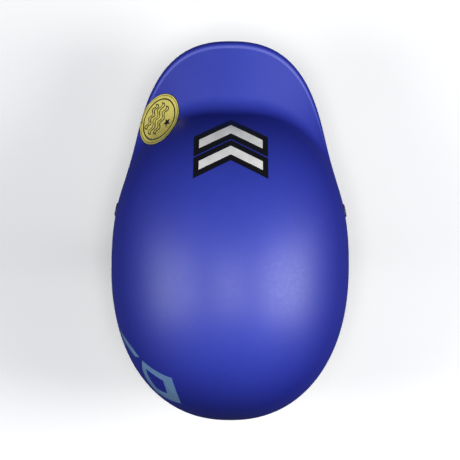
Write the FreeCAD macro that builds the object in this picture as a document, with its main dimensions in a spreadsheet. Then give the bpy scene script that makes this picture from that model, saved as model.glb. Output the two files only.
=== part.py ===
import FreeCAD, Part
import math
import os
import Sketcher

# Brimmed whitewater helmet with a hard shell, a foam liner, comfort pads, riveted webbing
# with a magnetic side-slide buckle, and a dial that tightens a cradle behind the head.
# Millimetres and degrees. +Z is up, -Y is forward (towards the brim), +X is the wearer's left.
# The origin is the centre of the head opening at brow level.

V = FreeCAD.Vector
X_AXIS = V(1, 0, 0)
Y_AXIS = V(0, 1, 0)
Z_AXIS = V(0, 0, 1)

doc = FreeCAD.newDocument("whitewater_helmet")
sheet = doc.addObject("Spreadsheet::Sheet", "Sizes")

SIZES = [
    # shell
    ("half_width", 102, "half the outer width at the widest level"),
    ("front_length", 136, "origin to the forehead wall at the widest level"),
    ("rear_length", 132.5, "origin to the rear wall at the widest level"),
    ("front_power", 2.3, "superellipse power of the plan outline's front half"),
    ("rear_power", 2.22, "superellipse power of the plan outline's rear half"),
    ("crown_level", 118, "top of the shell"),
    ("widest_level", -30, "level where the dome is widest"),
    ("side_power", 2.15, "superellipse power of the dome's side profile"),
    ("setback", 15, "how far the crown lies behind the middle"),
    ("brim_length", 56.3, "reach of the brim in front of the forehead"),
    ("brim_spread", 30.6, "half angle over which the brim dies away"),
    ("brim_power", 2.8, "how squarely the brim dies away"),
    ("roll_width", 6, "width of the rolled edge"),
    ("roll_drop", 1.8, "drop of the rolled edge"),
    ("shell_thick", 3.2, "shell wall"),
    # liner and pads
    ("liner_gap", 0.3, "between shell and liner"),
    ("liner_thick", 16, "liner at front, crown and rear"),
    ("side_relief", 6, "how much thinner the liner is at the sides"),
    ("channel_offset", 55, "middle of each drain channel from the centre line"),
    ("channel_width", 6, "drain channel"),
    ("pad_gap", 1.7, "liner to pad, filled by the hook dots"),
    ("pad_thick", 6, "comfort pad"),
    ("dot_radius", 6, "hook dot"),
    ("dot_thick", 0.45, "hook dot"),
    # strap anchors
    ("front_rivet_angle", 64, "from straight ahead"),
    ("front_rivet_level", -16, "level on the outer wall"),
    ("rear_rivet_angle", 114, "from straight ahead"),
    ("rear_rivet_level", -31, "level on the outer wall"),
    ("cap_radius", 6, "black cap"),
    ("cap_lip_radius", 5, "outer face of the cap"),
    ("cap_thick", 1.4, "black cap"),
    ("cap_sink", 1.2, "how deep the caps are let into the shell"),
    ("post_radius", 2.2, "rivet post"),
    ("post_head_radius", 3.2, "outer rivet head"),
    ("post_head_thick", 0.8, "outer rivet head"),
    ("post_reach", 7.4, "outer wall to the far end of the post"),
    ("post_foot_radius", 3.8, "inner rivet head"),
    ("post_foot_thick", 1.0, "inner rivet head"),
    ("washer_radius", 5.5, "inner washer"),
    ("washer_thick", 0.9, "inner washer"),
    ("washer_depth", 6.35, "outer wall to the washer's inner face"),
    # webbing
    ("web_width", 16, "webbing"),
    ("web_thick", 1.5, "webbing"),
    ("layer_offset", 0.8, "each of two webbing layers from their common middle"),
    ("tab_depth", 4.65, "outer wall to the middle of the riveted tab"),
    ("junction_out", 75, "strap junction from the centre line"),
    ("junction_forward", 2, "strap junction ahead of the origin"),
    ("junction_level", -80, "strap junction"),
    ("lower_run", 20, "junction to the bend above the buckle"),
    ("loop_level", -106, "centre of the chin loop"),
    ("loop_radius", 44, "chin loop"),
    # divider
    ("divider_width", 24, "divider plates"),
    ("divider_low", 12, "divider below the junction"),
    ("divider_high", 14, "divider above the junction"),
    ("divider_gap", 4.0, "space between the plates"),
    ("divider_plate", 1.6, "each plate"),
    ("divider_slot", 17, "width of the channel between the side walls"),
    # buckle
    ("buckle_place", 26, "bend to the buckle's middle"),
    ("buckle_width", 22, "buckle across the strap"),
    ("buckle_half", 3, "half the base's thickness"),
    ("base_top", 18, "base above the buckle's middle"),
    ("base_bottom", 2, "base below the buckle's middle"),
    ("slot_width", 17, "webbing slots"),
    ("tee_half", 1.8, "half the height of the tee channel"),
    ("neck_half", 0.9, "half the height of the channel's mouth"),
    ("tee_play", 0.3, "clearance round the tongue"),
    ("slider_bottom", 20, "slider below the buckle's middle"),
    ("slider_half", 2.5, "half the slider's thickness"),
    ("ladder_half", 1.2, "half the thickness of the ladder bars"),
    ("magnet_radius", 1.9, "buckle magnets"),
    ("magnet_thick", 3, "buckle magnets"),
    ("tab_length", 18, "pull tab beyond the slider's side"),
    ("tab_width", 8, "pull tab"),
    # fit system, in a frame that slopes down towards the nape
    ("stud_forward", 20, "temple studs ahead of the origin"),
    ("stud_level", -14, "temple studs"),
    ("fit_slope", 22, "slope of the fit system"),
    ("arm_offset", 80, "arms from the centre line"),
    ("arm_thick", 1.6, "arms"),
    ("arm_half", 6, "half the height of an arm"),
    ("arm_reach", 48, "stud to the arm's rear end"),
    ("eye_radius", 8, "arm eye"),
    ("stud_radius", 3, "temple stud"),
    ("running_play", 0.06, "radial clearance of a turning fit"),
    ("wing_start", 24, "stud to the front of the cradle's wings"),
    ("wing_half", 8.5, "half the height of a wing"),
    ("wing_thick", 4.4, "wing"),
    ("wing_slot", 2.4, "slot for the arm"),
    ("bend_start", 55, "stud to where the cradle starts to bend"),
    ("band_radius", 79, "middle of the bent band"),
    ("band_thick", 2.4, "bent band"),
    ("band_half", 13, "half the height of the band at the nape"),
    ("house_half_width", 32, "dial housing"),
    ("house_half_height", 12, "dial housing"),
    ("house_back", 141.5, "stud to the housing's rear face"),
    ("cavity_half_width", 27, "rack chamber"),
    ("cavity_half_height", 9.5, "rack chamber"),
    ("cavity_floor", 135.7, "stud to the chamber's floor"),
    ("cover_thick", 1.6, "housing cover"),
    ("pitch_radius", 5, "pinion"),
    ("pinion_teeth", 10, "pinion"),
    ("tooth_top", 0.8, "tooth height above the pitch line"),
    ("tooth_root", 1.1, "tooth depth below the pitch line"),
    ("gear_thick", 3.6, "pinion and racks"),
    ("gear_floor", 135.9, "stud to the pinion's front face"),
    ("shaft_radius", 3, "pinion shaft"),
    ("rack_length", 31, "rack"),
    ("rack_start", -6, "rack's inner end from the dial's axis, when loose"),
    ("rack_back_edge", 9.2, "outer edge of a rack from the dial's axis"),
    ("knob_radius", 16, "dial"),
    ("knob_front", 143.5, "stud to the dial's front face"),
    ("knob_thick", 9.5, "dial"),
    ("knob_grips", 20, "grip hollows round the dial"),
    ("grip_radius", 1.5, "each grip hollow"),
    ("screw_radius", 1.25, "dial screw"),
    ("screw_head_radius", 2.5, "dial screw"),
    ("cover_screw_radius", 1.0, "cover screws"),
    # stickers
    ("sticker_thick", 0.3, "printed stickers"),
    ("badge_length", 23.9, "half the round badge's longer axis in plan"),
    ("badge_width", 15.7, "half its shorter axis in plan"),
]


def fill_sheet():
    """One row per driving dimension: its name, its value and what it is."""
    for row, (alias, value, note) in enumerate(SIZES, start=1):
        sheet.set("A%d" % row, alias)
        sheet.set("B%d" % row, str(value))
        sheet.set("C%d" % row, note)
        sheet.setAlias("B%d" % row, alias)
    doc.recompute()


fill_sheet()


def size(name):
    return float(sheet.get(name))


def frame_at(origin, x_dir, y_dir, z_dir):
    """Placement whose own axes point along three square directions."""
    matrix = FreeCAD.Matrix(x_dir.x, y_dir.x, z_dir.x, origin.x,
                            x_dir.y, y_dir.y, z_dir.y, origin.y,
                            x_dir.z, y_dir.z, z_dir.z, origin.z, 0, 0, 0, 1)
    return FreeCAD.Placement(matrix)


# ---------------------------------------------------------------- nodes and small helpers

NODES = {}


def keep(name, obj):
    """Make an object a sub-part of the helmet."""
    obj.Label = name
    NODES[name] = obj
    return obj


def feature(name, shape):
    """Sub-part whose free-form shape is worked out here."""
    obj = doc.addObject("Part::Feature", name)
    obj.Shape = shape
    return keep(name, obj)


def bind(obj, **expressions):
    for key, expression in expressions.items():
        obj.setExpression(key, expression)
    return obj


def cylinder(name, radius, height, placement):
    obj = doc.addObject("Part::Cylinder", name)
    obj.Placement = placement
    return bind(obj, Radius=radius, Height=height)


def compound(name, members):
    obj = doc.addObject("Part::Compound", name)
    obj.Links = members
    return keep(name, obj)


def boolean(kind, name, first, second):
    obj = doc.addObject(kind, name)
    obj.Base = first
    obj.Tool = second
    return obj


def new_body(name, placement=None):
    body = doc.addObject("PartDesign::Body", name)
    if placement:
        body.Placement = placement
    return keep(name, body)


def new_sketch(body, plane, name, lift=None):
    """Sketch on one of the body's own planes, lifted along the plane's normal."""
    sketch = body.newObject("Sketcher::SketchObject", name)
    support = [part for part in body.Origin.OriginFeatures if part.Role == plane][0]
    sketch.AttachmentSupport = [(support, "")]
    sketch.MapMode = "FlatFace"
    if lift:
        sketch.setExpression("AttachmentOffset.Base.z", lift)
    return sketch


def fix_point(sketch, geometry, position, x, y):
    """Tie a sketch point to the origin with two sheet expressions."""
    for kind, expression in (("DistanceX", x), ("DistanceY", y)):
        index = sketch.addConstraint(Sketcher.Constraint(kind, -1, 1, geometry, position, 1.0))
        sketch.setExpression("Constraints[%d]" % index, expression)


def polygon(sketch, corners):
    """Closed outline through corners given as pairs of sheet expressions."""
    count = len(corners)
    first = sketch.GeometryCount
    for number in range(count):
        start = V(math.cos(2 * math.pi * number / count), math.sin(2 * math.pi * number / count), 0)
        after = 2 * math.pi * (number + 1) / count
        sketch.addGeometry(Part.LineSegment(start, V(math.cos(after), math.sin(after), 0)))
    for number, (x, y) in enumerate(corners):
        fix_point(sketch, first + number, 1, x, y)
        before = first + (number - 1) % count
        sketch.addConstraint(Sketcher.Constraint("Coincident", before, 2, first + number, 1))


def rectangle(sketch, left, right, low, high):
    polygon(sketch, [(left, low), (right, low), (right, high), (left, high)])


def circle(sketch, x, y, radius):
    index = sketch.addGeometry(Part.Circle(V(0, 0, 0), Z_AXIS, 1.0))
    fix_point(sketch, index, 3, x, y)
    rule = sketch.addConstraint(Sketcher.Constraint("Radius", index, 1.0))
    sketch.setExpression("Constraints[%d]" % rule, radius)


def pad(body, sketch, length, both_ways=False, reverse=False):
    solid = body.newObject("PartDesign::Pad", sketch.Name + "_pad")
    solid.Profile = sketch
    solid.setExpression("Length", length)
    solid.Midplane = both_ways
    solid.Reversed = reverse
    return solid


def pocket(body, sketch, length, both_ways=False, reverse=False):
    """Pocket that must take something away."""
    doc.recompute()
    before = body.Shape.Volume
    cut = body.newObject("PartDesign::Pocket", sketch.Name + "_pocket")
    cut.Profile = sketch
    cut.setExpression("Length", length)
    cut.Midplane = both_ways
    cut.Reversed = reverse
    doc.recompute()
    if body.Shape.Volume > before - 0.01:
        raise RuntimeError(cut.Name + " removes nothing")
    return cut


def round_edges(body, radius, chosen):
    """Fillet every edge of the body that passes the test."""
    doc.recompute()
    base = body.Tip
    names = ["Edge%d" % (number + 1) for number, edge in enumerate(base.Shape.Edges) if chosen(edge)]
    fillet = body.newObject("PartDesign::Fillet", body.Name + "_rounding")
    fillet.Base = (base, names)
    fillet.Radius = radius
    return fillet


def runs_along(axis):
    """Test for a straight edge that runs along an axis."""
    def test(edge):
        if not isinstance(edge.Curve, (Part.Line, Part.LineSegment)):
            return False
        step = edge.Vertexes[-1].Point - edge.Vertexes[0].Point
        return abs(step.normalize().dot(axis)) > 0.999
    return test


# ---------------------------------------------------------------- the shell's form

# Levels by angle from straight ahead, joined by smooth steps.
FILLET_START = [(0, 25), (30, 7), (45, -3), (62, -10), (90, -14), (180, -18)]
FILLET_REACH = [(0, 13), (60, 8), (180, 8)]
EDGE_LEVEL = [(0, -3), (28, -25), (46, -27), (70, -36), (95, -29), (132, -54), (180, -50)]
EDGE_TUCK = [(0, 0), (60, 0), (90, 2), (180, 4)]
ARC_STEPS = 16
FILLET_STEPS = 5
BRIM_STEPS = 9
BRIM_CROWDING = 1.7
COLUMNS = 72
SPARE = 5
POLE_RADIUS = 3
HEIGHT = size("crown_level") - size("widest_level")


def smooth_table(angle, rows):
    turned = abs((angle + 180) % 360 - 180)
    for (start, first), (end, last) in zip(rows, rows[1:]):
        if turned <= end:
            part = (turned - start) / (end - start)
            return first + (last - first) * part * part * (3 - 2 * part)
    return rows[-1][1]


def plan_radius(angle):
    """Superellipse outline of the dome at its widest level."""
    turn = math.radians(angle)
    half = "front" if math.cos(turn) > 0 else "rear"
    length = size(half + "_length")
    power = size(half + "_power")
    across = (abs(math.sin(turn)) / size("half_width")) ** power
    along = (abs(math.cos(turn)) / length) ** power
    return (across + along) ** (-1 / power)


def dome_point(angle, turn):
    """Radius and level on the dome, from the crown (turn 0) to the widest level (turn 90)."""
    power = 2 / size("side_power")
    level = size("widest_level") + HEIGHT * max(0.0, math.cos(turn)) ** power
    return plan_radius(angle) * math.sin(turn) ** power, level


def in_space(angle, radius, level):
    turn = math.radians(angle)
    lean = size("setback") * max(0.0, (level - size("widest_level")) / HEIGHT) ** 2
    return V(radius * math.sin(turn), -radius * math.cos(turn) + lean, level)


def outer_column(angle):
    """Points down the outside of the shell: dome, hollow fillet, then brim or skirt."""
    start_level = smooth_table(angle, FILLET_START)
    last = math.acos(((start_level - size("widest_level")) / HEIGHT) ** (size("side_power") / 2))
    points = [dome_point(angle, last * step / ARC_STEPS) for step in range(ARC_STEPS + 1)]
    top = points[-1]
    before = dome_point(angle, last - 1e-4)
    slope = math.hypot(top[0] - before[0], top[1] - before[1])
    reach = smooth_table(angle, FILLET_REACH)
    corner = (top[0] + (top[0] - before[0]) / slope * reach,
              top[1] + (top[1] - before[1]) / slope * reach)
    turned = abs((angle + 180) % 360 - 180)
    brim = size("brim_length") * math.exp(-(turned / size("brim_spread")) ** size("brim_power"))
    edge = (plan_radius(angle) + brim - smooth_table(angle, EDGE_TUCK), smooth_table(angle, EDGE_LEVEL))
    run = math.hypot(edge[0] - corner[0], edge[1] - corner[1])
    along = ((edge[0] - corner[0]) / run, (edge[1] - corner[1]) / run)
    leave = min(reach, 0.4 * run)
    foot = (corner[0] + along[0] * leave, corner[1] + along[1] * leave)
    for step in range(1, FILLET_STEPS + 1):
        part = step / FILLET_STEPS
        points.append(tuple((1 - part) ** 2 * top[k] + 2 * part * (1 - part) * corner[k]
                            + part ** 2 * foot[k] for k in (0, 1)))
    whole = run - leave
    for step in range(1, BRIM_STEPS + 1):
        reached = whole * (1 - (1 - step / BRIM_STEPS) ** BRIM_CROWDING)
        rolled = max(0.0, 1 - (whole - reached) / size("roll_width"))
        points.append((foot[0] + along[0] * reached,
                       foot[1] + along[1] * reached - size("roll_drop") * rolled ** 2))
    return [in_space(angle, radius, level) for radius, level in points]


def dome_column(angle, bottom):
    """Points down a plain dome that follows the skirt's tuck and then goes straight down."""
    points = [dome_point(angle, math.pi / 2 * step / ARC_STEPS) for step in range(ARC_STEPS + 1)]
    widest = points[-1]
    for step in range(1, 4):
        points.append((widest[0], widest[1] + (bottom - widest[1]) * step / 3))
    start = smooth_table(angle, FILLET_START)
    fall = start - smooth_table(angle, EDGE_LEVEL)
    tuck = smooth_table(angle, EDGE_TUCK)
    column = []
    for radius, level in points:
        drawn_in = tuck * min(1.0, max(0.0, (start - level) / fall))
        column.append(in_space(angle, radius - drawn_in, level))
    return column


def column_angle(number):
    return -180 + 360 * number / COLUMNS


def inset(columns, depth):
    """Move every point inwards along the surface normal; depth may vary with the angle."""
    moved = []
    for number in range(1, len(columns) - 1):
        here = columns[number]
        distance = depth(column_angle(number - SPARE))
        column = [here[0] - Z_AXIS * distance]
        for row in range(1, len(here)):
            down = here[min(row + 1, len(here) - 1)] - here[row - 1]
            round_it = columns[number + 1][row] - columns[number - 1][row]
            normal = round_it.cross(down).normalize()
            if normal.dot(here[row] - Z_AXIS * size("widest_level")) < 0:
                normal = normal * -1
            column.append(here[row] - normal * distance)
        moved.append(column)
    return moved


def flat_pole(column):
    """Start a column on a small flat ring in place of the pole."""
    across = V(column[1].x - column[0].x, column[1].y - column[0].y, 0).normalize()
    return [V(column[0].x, column[0].y, column[0].z - 0.05) + across * POLE_RADIUS] + column[1:]


def half_skins(columns):
    """Two smooth faces, left and right, through rows of points that overlap past the rear."""
    surface = Part.BSplineSurface()
    rows = len(columns[0])
    surface.interpolate([[column[row] for column in columns] for row in range(rows)])
    knots = surface.getVKnots()
    middle = (len(columns) - 1) // 2
    ends = (SPARE - 1, middle, len(columns) - SPARE)
    faces = []
    for start, end in zip(ends, ends[1:]):
        half = surface.copy()
        half.segment(0, 1, knots[start], knots[end])
        faces.append(half.toShape())
    return faces


def longest(face):
    return max(face.Edges, key=lambda edge: edge.Length)


def shortest(face):
    return min(face.Edges, key=lambda edge: edge.Length)


def solid_from(faces):
    shell = Part.makeShell(faces)
    shell.sewShape()
    return Part.makeSolid(shell)


def level_bottom_edge(face):
    """The face's lowest edge."""
    return min(face.Edges, key=lambda edge: edge.CenterOfMass.z)


def skin_solid(near, far):
    """Solid between two depths below the shell's outer surface."""
    columns = [outer_column(column_angle(number)) for number in range(-SPARE, COLUMNS + SPARE + 1)]
    outside, inside = [half_skins([flat_pole(column) for column in inset(columns, lambda angle: depth)])
                       for depth in (near, far)]
    faces = outside + inside
    faces += [Part.makeRuledSurface(longest(a), longest(b)) for a, b in zip(outside, inside)]
    faces += [Part.makeRuledSurface(shortest(pair[0]), shortest(pair[1])) for pair in (outside, inside)]
    return solid_from(faces)


def dome_solid(depth, bottom):
    """Everything inside a dome that lies at a given depth below the outer surface."""
    columns = [dome_column(column_angle(number), bottom) for number in range(-SPARE, COLUMNS + SPARE + 1)]
    halves = half_skins([flat_pole(column) for column in inset(columns, depth)])
    faces = halves + [Part.makeRuledSurface(shortest(halves[0]), shortest(halves[1]))]
    faces.append(Part.makeRuledSurface(level_bottom_edge(halves[0]), level_bottom_edge(halves[1])))
    return solid_from(faces)


def outer_at(angle, level):
    """Point on the outside of the shell at an angle and a level."""
    column = outer_column(angle)
    for upper, lower in zip(column, column[1:]):
        if lower.z <= level:
            return upper + (lower - upper) * ((upper.z - level) / (upper.z - lower.z))
    return column[-1]


def wall_frame(angle, level, depth=0):
    """Frame on the wall: Z points out of the shell, X points up the wall."""
    point = outer_at(angle, level)
    down = outer_at(angle, level - 1) - outer_at(angle, level + 1)
    around = outer_at(angle + 1, level) - outer_at(angle - 1, level)
    normal = around.cross(down).normalize()
    if normal.dot(V(point.x, point.y, 0)) < 0:
        normal = normal * -1
    up = down.normalize() * -1
    side = normal.cross(up).normalize()
    return frame_at(point - normal * depth, side.cross(normal), side, normal)


# ---------------------------------------------------------------- strap rivets

# Left front, left rear, right front, right rear.
RIVET_SEATS = [wall_frame(side * size(end + "_rivet_angle"), size(end + "_rivet_level"))
               for side in (1, -1) for end in ("front", "rear")]


def seat_point(seat, out):
    """A point on a rivet's axis, a distance out of the wall."""
    return seat.multVec(V(0, 0, out))


def along_rivet(name, seat, radius, height, start):
    """Cylinder on a rivet's axis, from a distance out of the wall."""
    return cylinder(name, radius, height,
                    seat.multiply(FreeCAD.Placement(V(0, 0, start), FreeCAD.Rotation())))


def rivets():
    """Black caps outside, hollow-headed posts through the wall and washers inside."""
    caps, posts, washers = [], [], []
    sink = size("cap_sink")
    reach = size("post_reach")
    washer = size("washer_depth")
    for number, seat in enumerate(RIVET_SEATS, start=1):
        tag = "rivet_%d" % number
        cone = doc.addObject("Part::Cone", tag + "_cap_disc")
        bind(cone, Radius1="Sizes.cap_radius", Radius2="Sizes.cap_lip_radius", Height="Sizes.cap_thick")
        cone.Placement = seat.multiply(FreeCAD.Placement(V(0, 0, -sink), FreeCAD.Rotation()))
        bore = along_rivet(tag + "_cap_bore", seat, "Sizes.post_radius", "Sizes.cap_thick", -sink)
        caps.append(boolean("Part::Cut", tag + "_cap", cone, bore))
        stem = along_rivet(tag + "_stem", seat, "Sizes.post_radius",
                           "Sizes.post_reach + Sizes.cap_thick - Sizes.cap_sink", -reach)
        head = along_rivet(tag + "_head", seat, "Sizes.post_head_radius", "Sizes.post_head_thick",
                           size("cap_thick") - sink)
        foot = along_rivet(tag + "_foot", seat, "Sizes.post_foot_radius", "Sizes.post_foot_thick", -reach)
        whole = doc.addObject("Part::MultiFuse", tag + "_post")
        whole.Shapes = [stem, head, foot]
        posts.append(whole)
        plate = along_rivet(tag + "_plate", seat, "Sizes.washer_radius", "Sizes.washer_thick", -washer)
        hole = along_rivet(tag + "_plate_hole", seat, "Sizes.post_radius", "Sizes.washer_thick", -washer)
        washers.append(boolean("Part::Cut", tag + "_washer", plate, hole))
    compound("strap_rivet_caps", caps)
    compound("strap_rivet_posts", posts)
    compound("strap_rivet_washers", washers)


# ---------------------------------------------------------------- shell, liner and pads

RIVET_HOLE_PLAY = 0.1
POCKET_HALF_WIDTH = 18
POCKET_ABOVE = 13
POCKET_BELOW = 30
POCKET_DEPTH = 14
STUD_PLUG_RADIUS = 5
STUD_PLUG_DEPTH = 13
DOME_BOTTOM = -80
# Bottom of the liner seen from the side: (y, z) corners.
LINER_BOTTOM = [(-150, 6), (-112, 6), (-80, -14), (-50, -25), (10, -25), (60, -34), (150, -34)]


def outer_shell():
    """Hard shell with a hole for each rivet post and a shallow seat for each cap."""
    shell = skin_solid(0, size("shell_thick"))
    for seat in RIVET_SEATS:
        out = seat.Rotation.multVec(Z_AXIS)
        hole = Part.makeCylinder(size("post_radius") + RIVET_HOLE_PLAY, 20, seat_point(seat, -10), out)
        recess = Part.makeCylinder(size("cap_radius") + RIVET_HOLE_PLAY, 10,
                                   seat_point(seat, -size("cap_sink")), out)
        shell = shell.cut(hole).cut(recess)
    feature("outer_shell", shell)


def side_fall(angle):
    return size("side_relief") * math.sin(math.radians(angle)) ** 2


def liner_depth(extra):
    """Depth rule below the outer surface for whatever lies inside the liner."""
    base = size("shell_thick") + size("liner_gap") + size("liner_thick") + extra
    return lambda angle: base - side_fall(angle)


def stud_centre(side):
    return V(side * size("arm_offset"), -size("stud_forward"), size("stud_level"))


def liner():
    """Foam liner in three pieces, parted by a drain channel on each side of the centre piece."""
    gap = size("shell_thick") + size("liner_gap")
    whole = dome_solid(lambda angle: gap, DOME_BOTTOM).cut(dome_solid(liner_depth(0), DOME_BOTTOM - 1))
    top = [V(-150, y, z) for y, z in LINER_BOTTOM]
    under = top + [V(-150, 150, -100), V(-150, -150, -100), top[0]]
    whole = whole.cut(Part.Face(Part.makePolygon(under)).extrude(V(300, 0, 0)))
    for seat in RIVET_SEATS:
        well = Part.makeBox(POCKET_ABOVE + POCKET_BELOW, 2 * POCKET_HALF_WIDTH, 2 * POCKET_DEPTH,
                            V(-POCKET_BELOW, -POCKET_HALF_WIDTH, -POCKET_DEPTH))
        well.Placement = seat
        whole = whole.cut(well)
    for side in (1, -1):
        plug = Part.makeCylinder(STUD_PLUG_RADIUS, STUD_PLUG_DEPTH, stud_centre(side) + X_AXIS * side * 2,
                                 X_AXIS * side)
        whole = whole.cut(plug)
    inner = size("channel_offset") - size("channel_width") / 2
    outer = size("channel_offset") + size("channel_width") / 2
    reach = 150
    middle = Part.makeBox(2 * inner, 2 * reach, 2 * reach, V(-inner, -reach, -reach))
    feature("liner_centre", whole.common(middle))
    for side, name in ((1, "left"), (-1, "right")):
        start = outer if side > 0 else -outer - reach
        flank = Part.makeBox(reach, 2 * reach, 2 * reach, V(start, -reach, -reach))
        feature("liner_" + name, whole.common(flank))


def pads():
    """Comfort pads, cut from one layer inside the liner, and the hook dots behind them."""
    near = size("pad_gap")
    far = near + size("pad_thick")
    layer = dome_solid(liner_depth(near), DOME_BOTTOM).cut(dome_solid(liner_depth(far), DOME_BOTTOM - 1))
    blanks = {
        "brow_pad": Part.makeBox(140, 60, 30, V(-70, -130, 8)),
        "rear_pad": Part.makeBox(96, 60, 34, V(-48, 70, -16)),
        "side_pad_left": Part.makeBox(60, 76, 34, V(50, -40, -2)),
        "side_pad_right": Part.makeBox(60, 76, 34, V(-110, -40, -2)),
    }
    for name, blank in blanks.items():
        feature(name, layer.common(blank))
    oval = Part.Ellipse(V(0, 72, 60), V(36, 12, 60), V(0, 12, 60)).toShape()
    crown = Part.Face(Part.Wire(oval)).extrude(Z_AXIS * 60)
    feature("crown_pad", layer.common(crown))


DOT_GAP = 0.65


def hook_dots():
    """Hook discs glued to the liner, holding the pads."""
    seats = [(angle, 26) for angle in (-30, 0, 30)] + [(angle, 2) for angle in (160, 180, 200)]
    seats += [(side * angle, 16) for side in (1, -1) for angle in (70, 104)]
    dots = []
    for number, (angle, level) in enumerate(seats, start=1):
        depth = liner_depth(DOT_GAP)(angle)
        seat = wall_frame(angle, level, depth + size("dot_thick"))
        dots.append(cylinder("dot_%d" % number, "Sizes.dot_radius", "Sizes.dot_thick", seat))
    compound("pad_hook_dots", dots)


# ---------------------------------------------------------------- webbing

def mirrored(point):
    return V(-point.x, point.y, point.z)


def junction(side):
    return V(side * size("junction_out"), -size("junction_forward"), size("junction_level"))


def divider_frame(side):
    """Frame at the junction: X points down the strap, Y points back, Z points out."""
    here = junction(side)
    front = RIVET_SEATS[0 if side > 0 else 2].Base - here
    rear = RIVET_SEATS[1 if side > 0 else 3].Base - here
    out = rear.cross(front) * side
    out = V(out.x, 0, out.z).normalize()
    if out.x * side < 0:
        out = out * -1
    down = Y_AXIS.cross(out).normalize()
    if down.z > 0:
        return frame_at(here, down * -1, Y_AXIS * -1, out)
    return frame_at(here, down, Y_AXIS, out)


DIVIDERS = {1: divider_frame(1), -1: divider_frame(-1)}


def strip(stations):
    """Flat webbing through stations given as (middle, outward normal)."""
    wires = []
    for number, (middle, normal) in enumerate(stations):
        before = stations[max(number - 1, 0)][0]
        after = stations[min(number + 1, len(stations) - 1)][0]
        along = (after - before).normalize()
        across = normal.cross(along).normalize()
        out = along.cross(across).normalize()
        wide = across * (size("web_width") / 2)
        thick = out * (size("web_thick") / 2)
        corners = [middle + wide + thick, middle - wide + thick, middle - wide - thick, middle + wide - thick]
        wires.append(Part.makePolygon(corners + [corners[0]]))
    return Part.makeLoft(wires, True, True)


LAYERED_RUN = 20


def upper_strap(name, side, seat, layer):
    """From the riveted tab down to the junction, in one of the divider's two layers."""
    frame = DIVIDERS[side]
    out = frame.Rotation.multVec(Z_AXIS)
    wall = seat.Rotation.multVec(Z_AXIS)
    end = frame.multVec(V(0, 0, layer * size("layer_offset")))
    anchor = seat_point(seat, -size("tab_depth"))
    run = end - anchor
    run = (run - wall * run.dot(wall)).normalize()
    past = end - anchor
    past = (past - out * past.dot(out)).normalize() * LAYERED_RUN
    stations = [(anchor - run * 9, wall), (anchor, wall), (anchor + run * 10, wall),
                (end - past, out), (end, out), (end + past, out)]
    webbing = strip(stations)
    above = Part.makeBox(200, 200, 200, V(-200.2, -100, -100))
    above.Placement = frame
    webbing = webbing.common(above)
    hole = Part.makeCylinder(size("post_radius") + RIVET_HOLE_PLAY, 12, seat_point(seat, -12), wall)
    feature(name, webbing.cut(hole))


def upper_straps():
    for side, name in ((1, "left"), (-1, "right")):
        base = 0 if side > 0 else 2
        upper_strap("front_strap_" + name, side, RIVET_SEATS[base], 1)
        upper_strap("rear_strap_" + name, side, RIVET_SEATS[base + 1], -1)


def bend_point(side):
    """Where the strap turns in below the divider."""
    return DIVIDERS[side].multVec(V(size("lower_run"), 0, 0))


def touch_point():
    """Where the left lower run meets the chin loop."""
    middle = V(0, -size("junction_forward"), size("loop_level"))
    bend = bend_point(1) - middle
    turn = math.atan2(bend.z, bend.x) - math.acos(size("loop_radius") / bend.Length)
    return middle + V(math.cos(turn), 0, math.sin(turn)) * size("loop_radius")


RUN_DOWN = (touch_point() - bend_point(1)).normalize()
RUN_OUT = V(-RUN_DOWN.z, 0, RUN_DOWN.x)
BUCKLE_FRAME = frame_at(bend_point(1) + RUN_DOWN * size("buckle_place"), RUN_DOWN, Y_AXIS, RUN_OUT)


def offset_corner(before, corner, after, distance):
    """The corner of a path in the XZ plane moved outwards by a distance from both runs."""
    first = (corner - before).normalize()
    second = (after - corner).normalize()
    out_first = V(-first.z, 0, first.x)
    out_second = V(-second.z, 0, second.x)
    middle = (out_first + out_second).normalize()
    return corner + middle * (distance / middle.dot(out_first))


def flat_band(edges_near, edges_far):
    """Webbing between two chains of edges in the XZ plane, as wide as the webbing."""
    ends = []
    for pick in (0, -1):
        start = edges_near[pick].Vertexes[pick].Point
        end = edges_far[pick].Vertexes[pick].Point
        ends.append(Part.LineSegment(start, end).toShape())
    wire = Part.Wire(Part.__sortEdges__(edges_near + edges_far + ends))
    half = size("web_width") / 2
    face = Part.Face(wire)
    face.translate(V(0, -half, 0))
    return face.extrude(V(0, 2 * half, 0))


def run_edges(points):
    return [Part.LineSegment(start, end).toShape() for start, end in zip(points, points[1:])]


BASE_STRAP_END = 23.2


def lower_strap_paths(offset):
    """The left lower run from the divider to the buckle, a distance out of its middle."""
    start = DIVIDERS[1].multVec(V(2, 0, 0))
    bend = bend_point(1)
    end = BUCKLE_FRAME.multVec(V(-BASE_STRAP_END, 0, 0))
    far = DIVIDERS[1].Rotation.multVec(Z_AXIS) * offset
    return [start + far, offset_corner(start, bend, end, offset), end + RUN_OUT * offset]


def lower_straps():
    """Two sewn layers below each divider, and the single strap that goes under the chin."""
    half = size("layer_offset") + size("web_thick") / 2
    left = flat_band(run_edges(lower_strap_paths(-half)), run_edges(lower_strap_paths(half)))
    feature("lower_strap_left", left)
    feature("lower_strap_right", left.mirror(V(0, 0, 0), X_AXIS))


CHIN_SPLICE = 3.1
SLIDER_STRAP_END = 25
TAIL_END_ANGLE = -100


def loop_point(angle, offset):
    turn = math.radians(angle)
    return V(0, -size("junction_forward"), size("loop_level")) + V(
        math.cos(turn), 0, math.sin(turn)) * (size("loop_radius") + offset)


def loop_arc(start, end, offset):
    middle = (start + end) / 2
    return Part.Arc(loop_point(start, offset), loop_point(middle, offset), loop_point(end, offset)).toShape()


def chin_path(offset, from_buckle, end_angle, touch):
    """From the slider along the run, then round the loop to an angle."""
    start = BUCKLE_FRAME.multVec(V(from_buckle, 0, offset))
    return [Part.LineSegment(start, loop_point(touch, offset)).toShape(), loop_arc(touch, end_angle, offset)]


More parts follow.
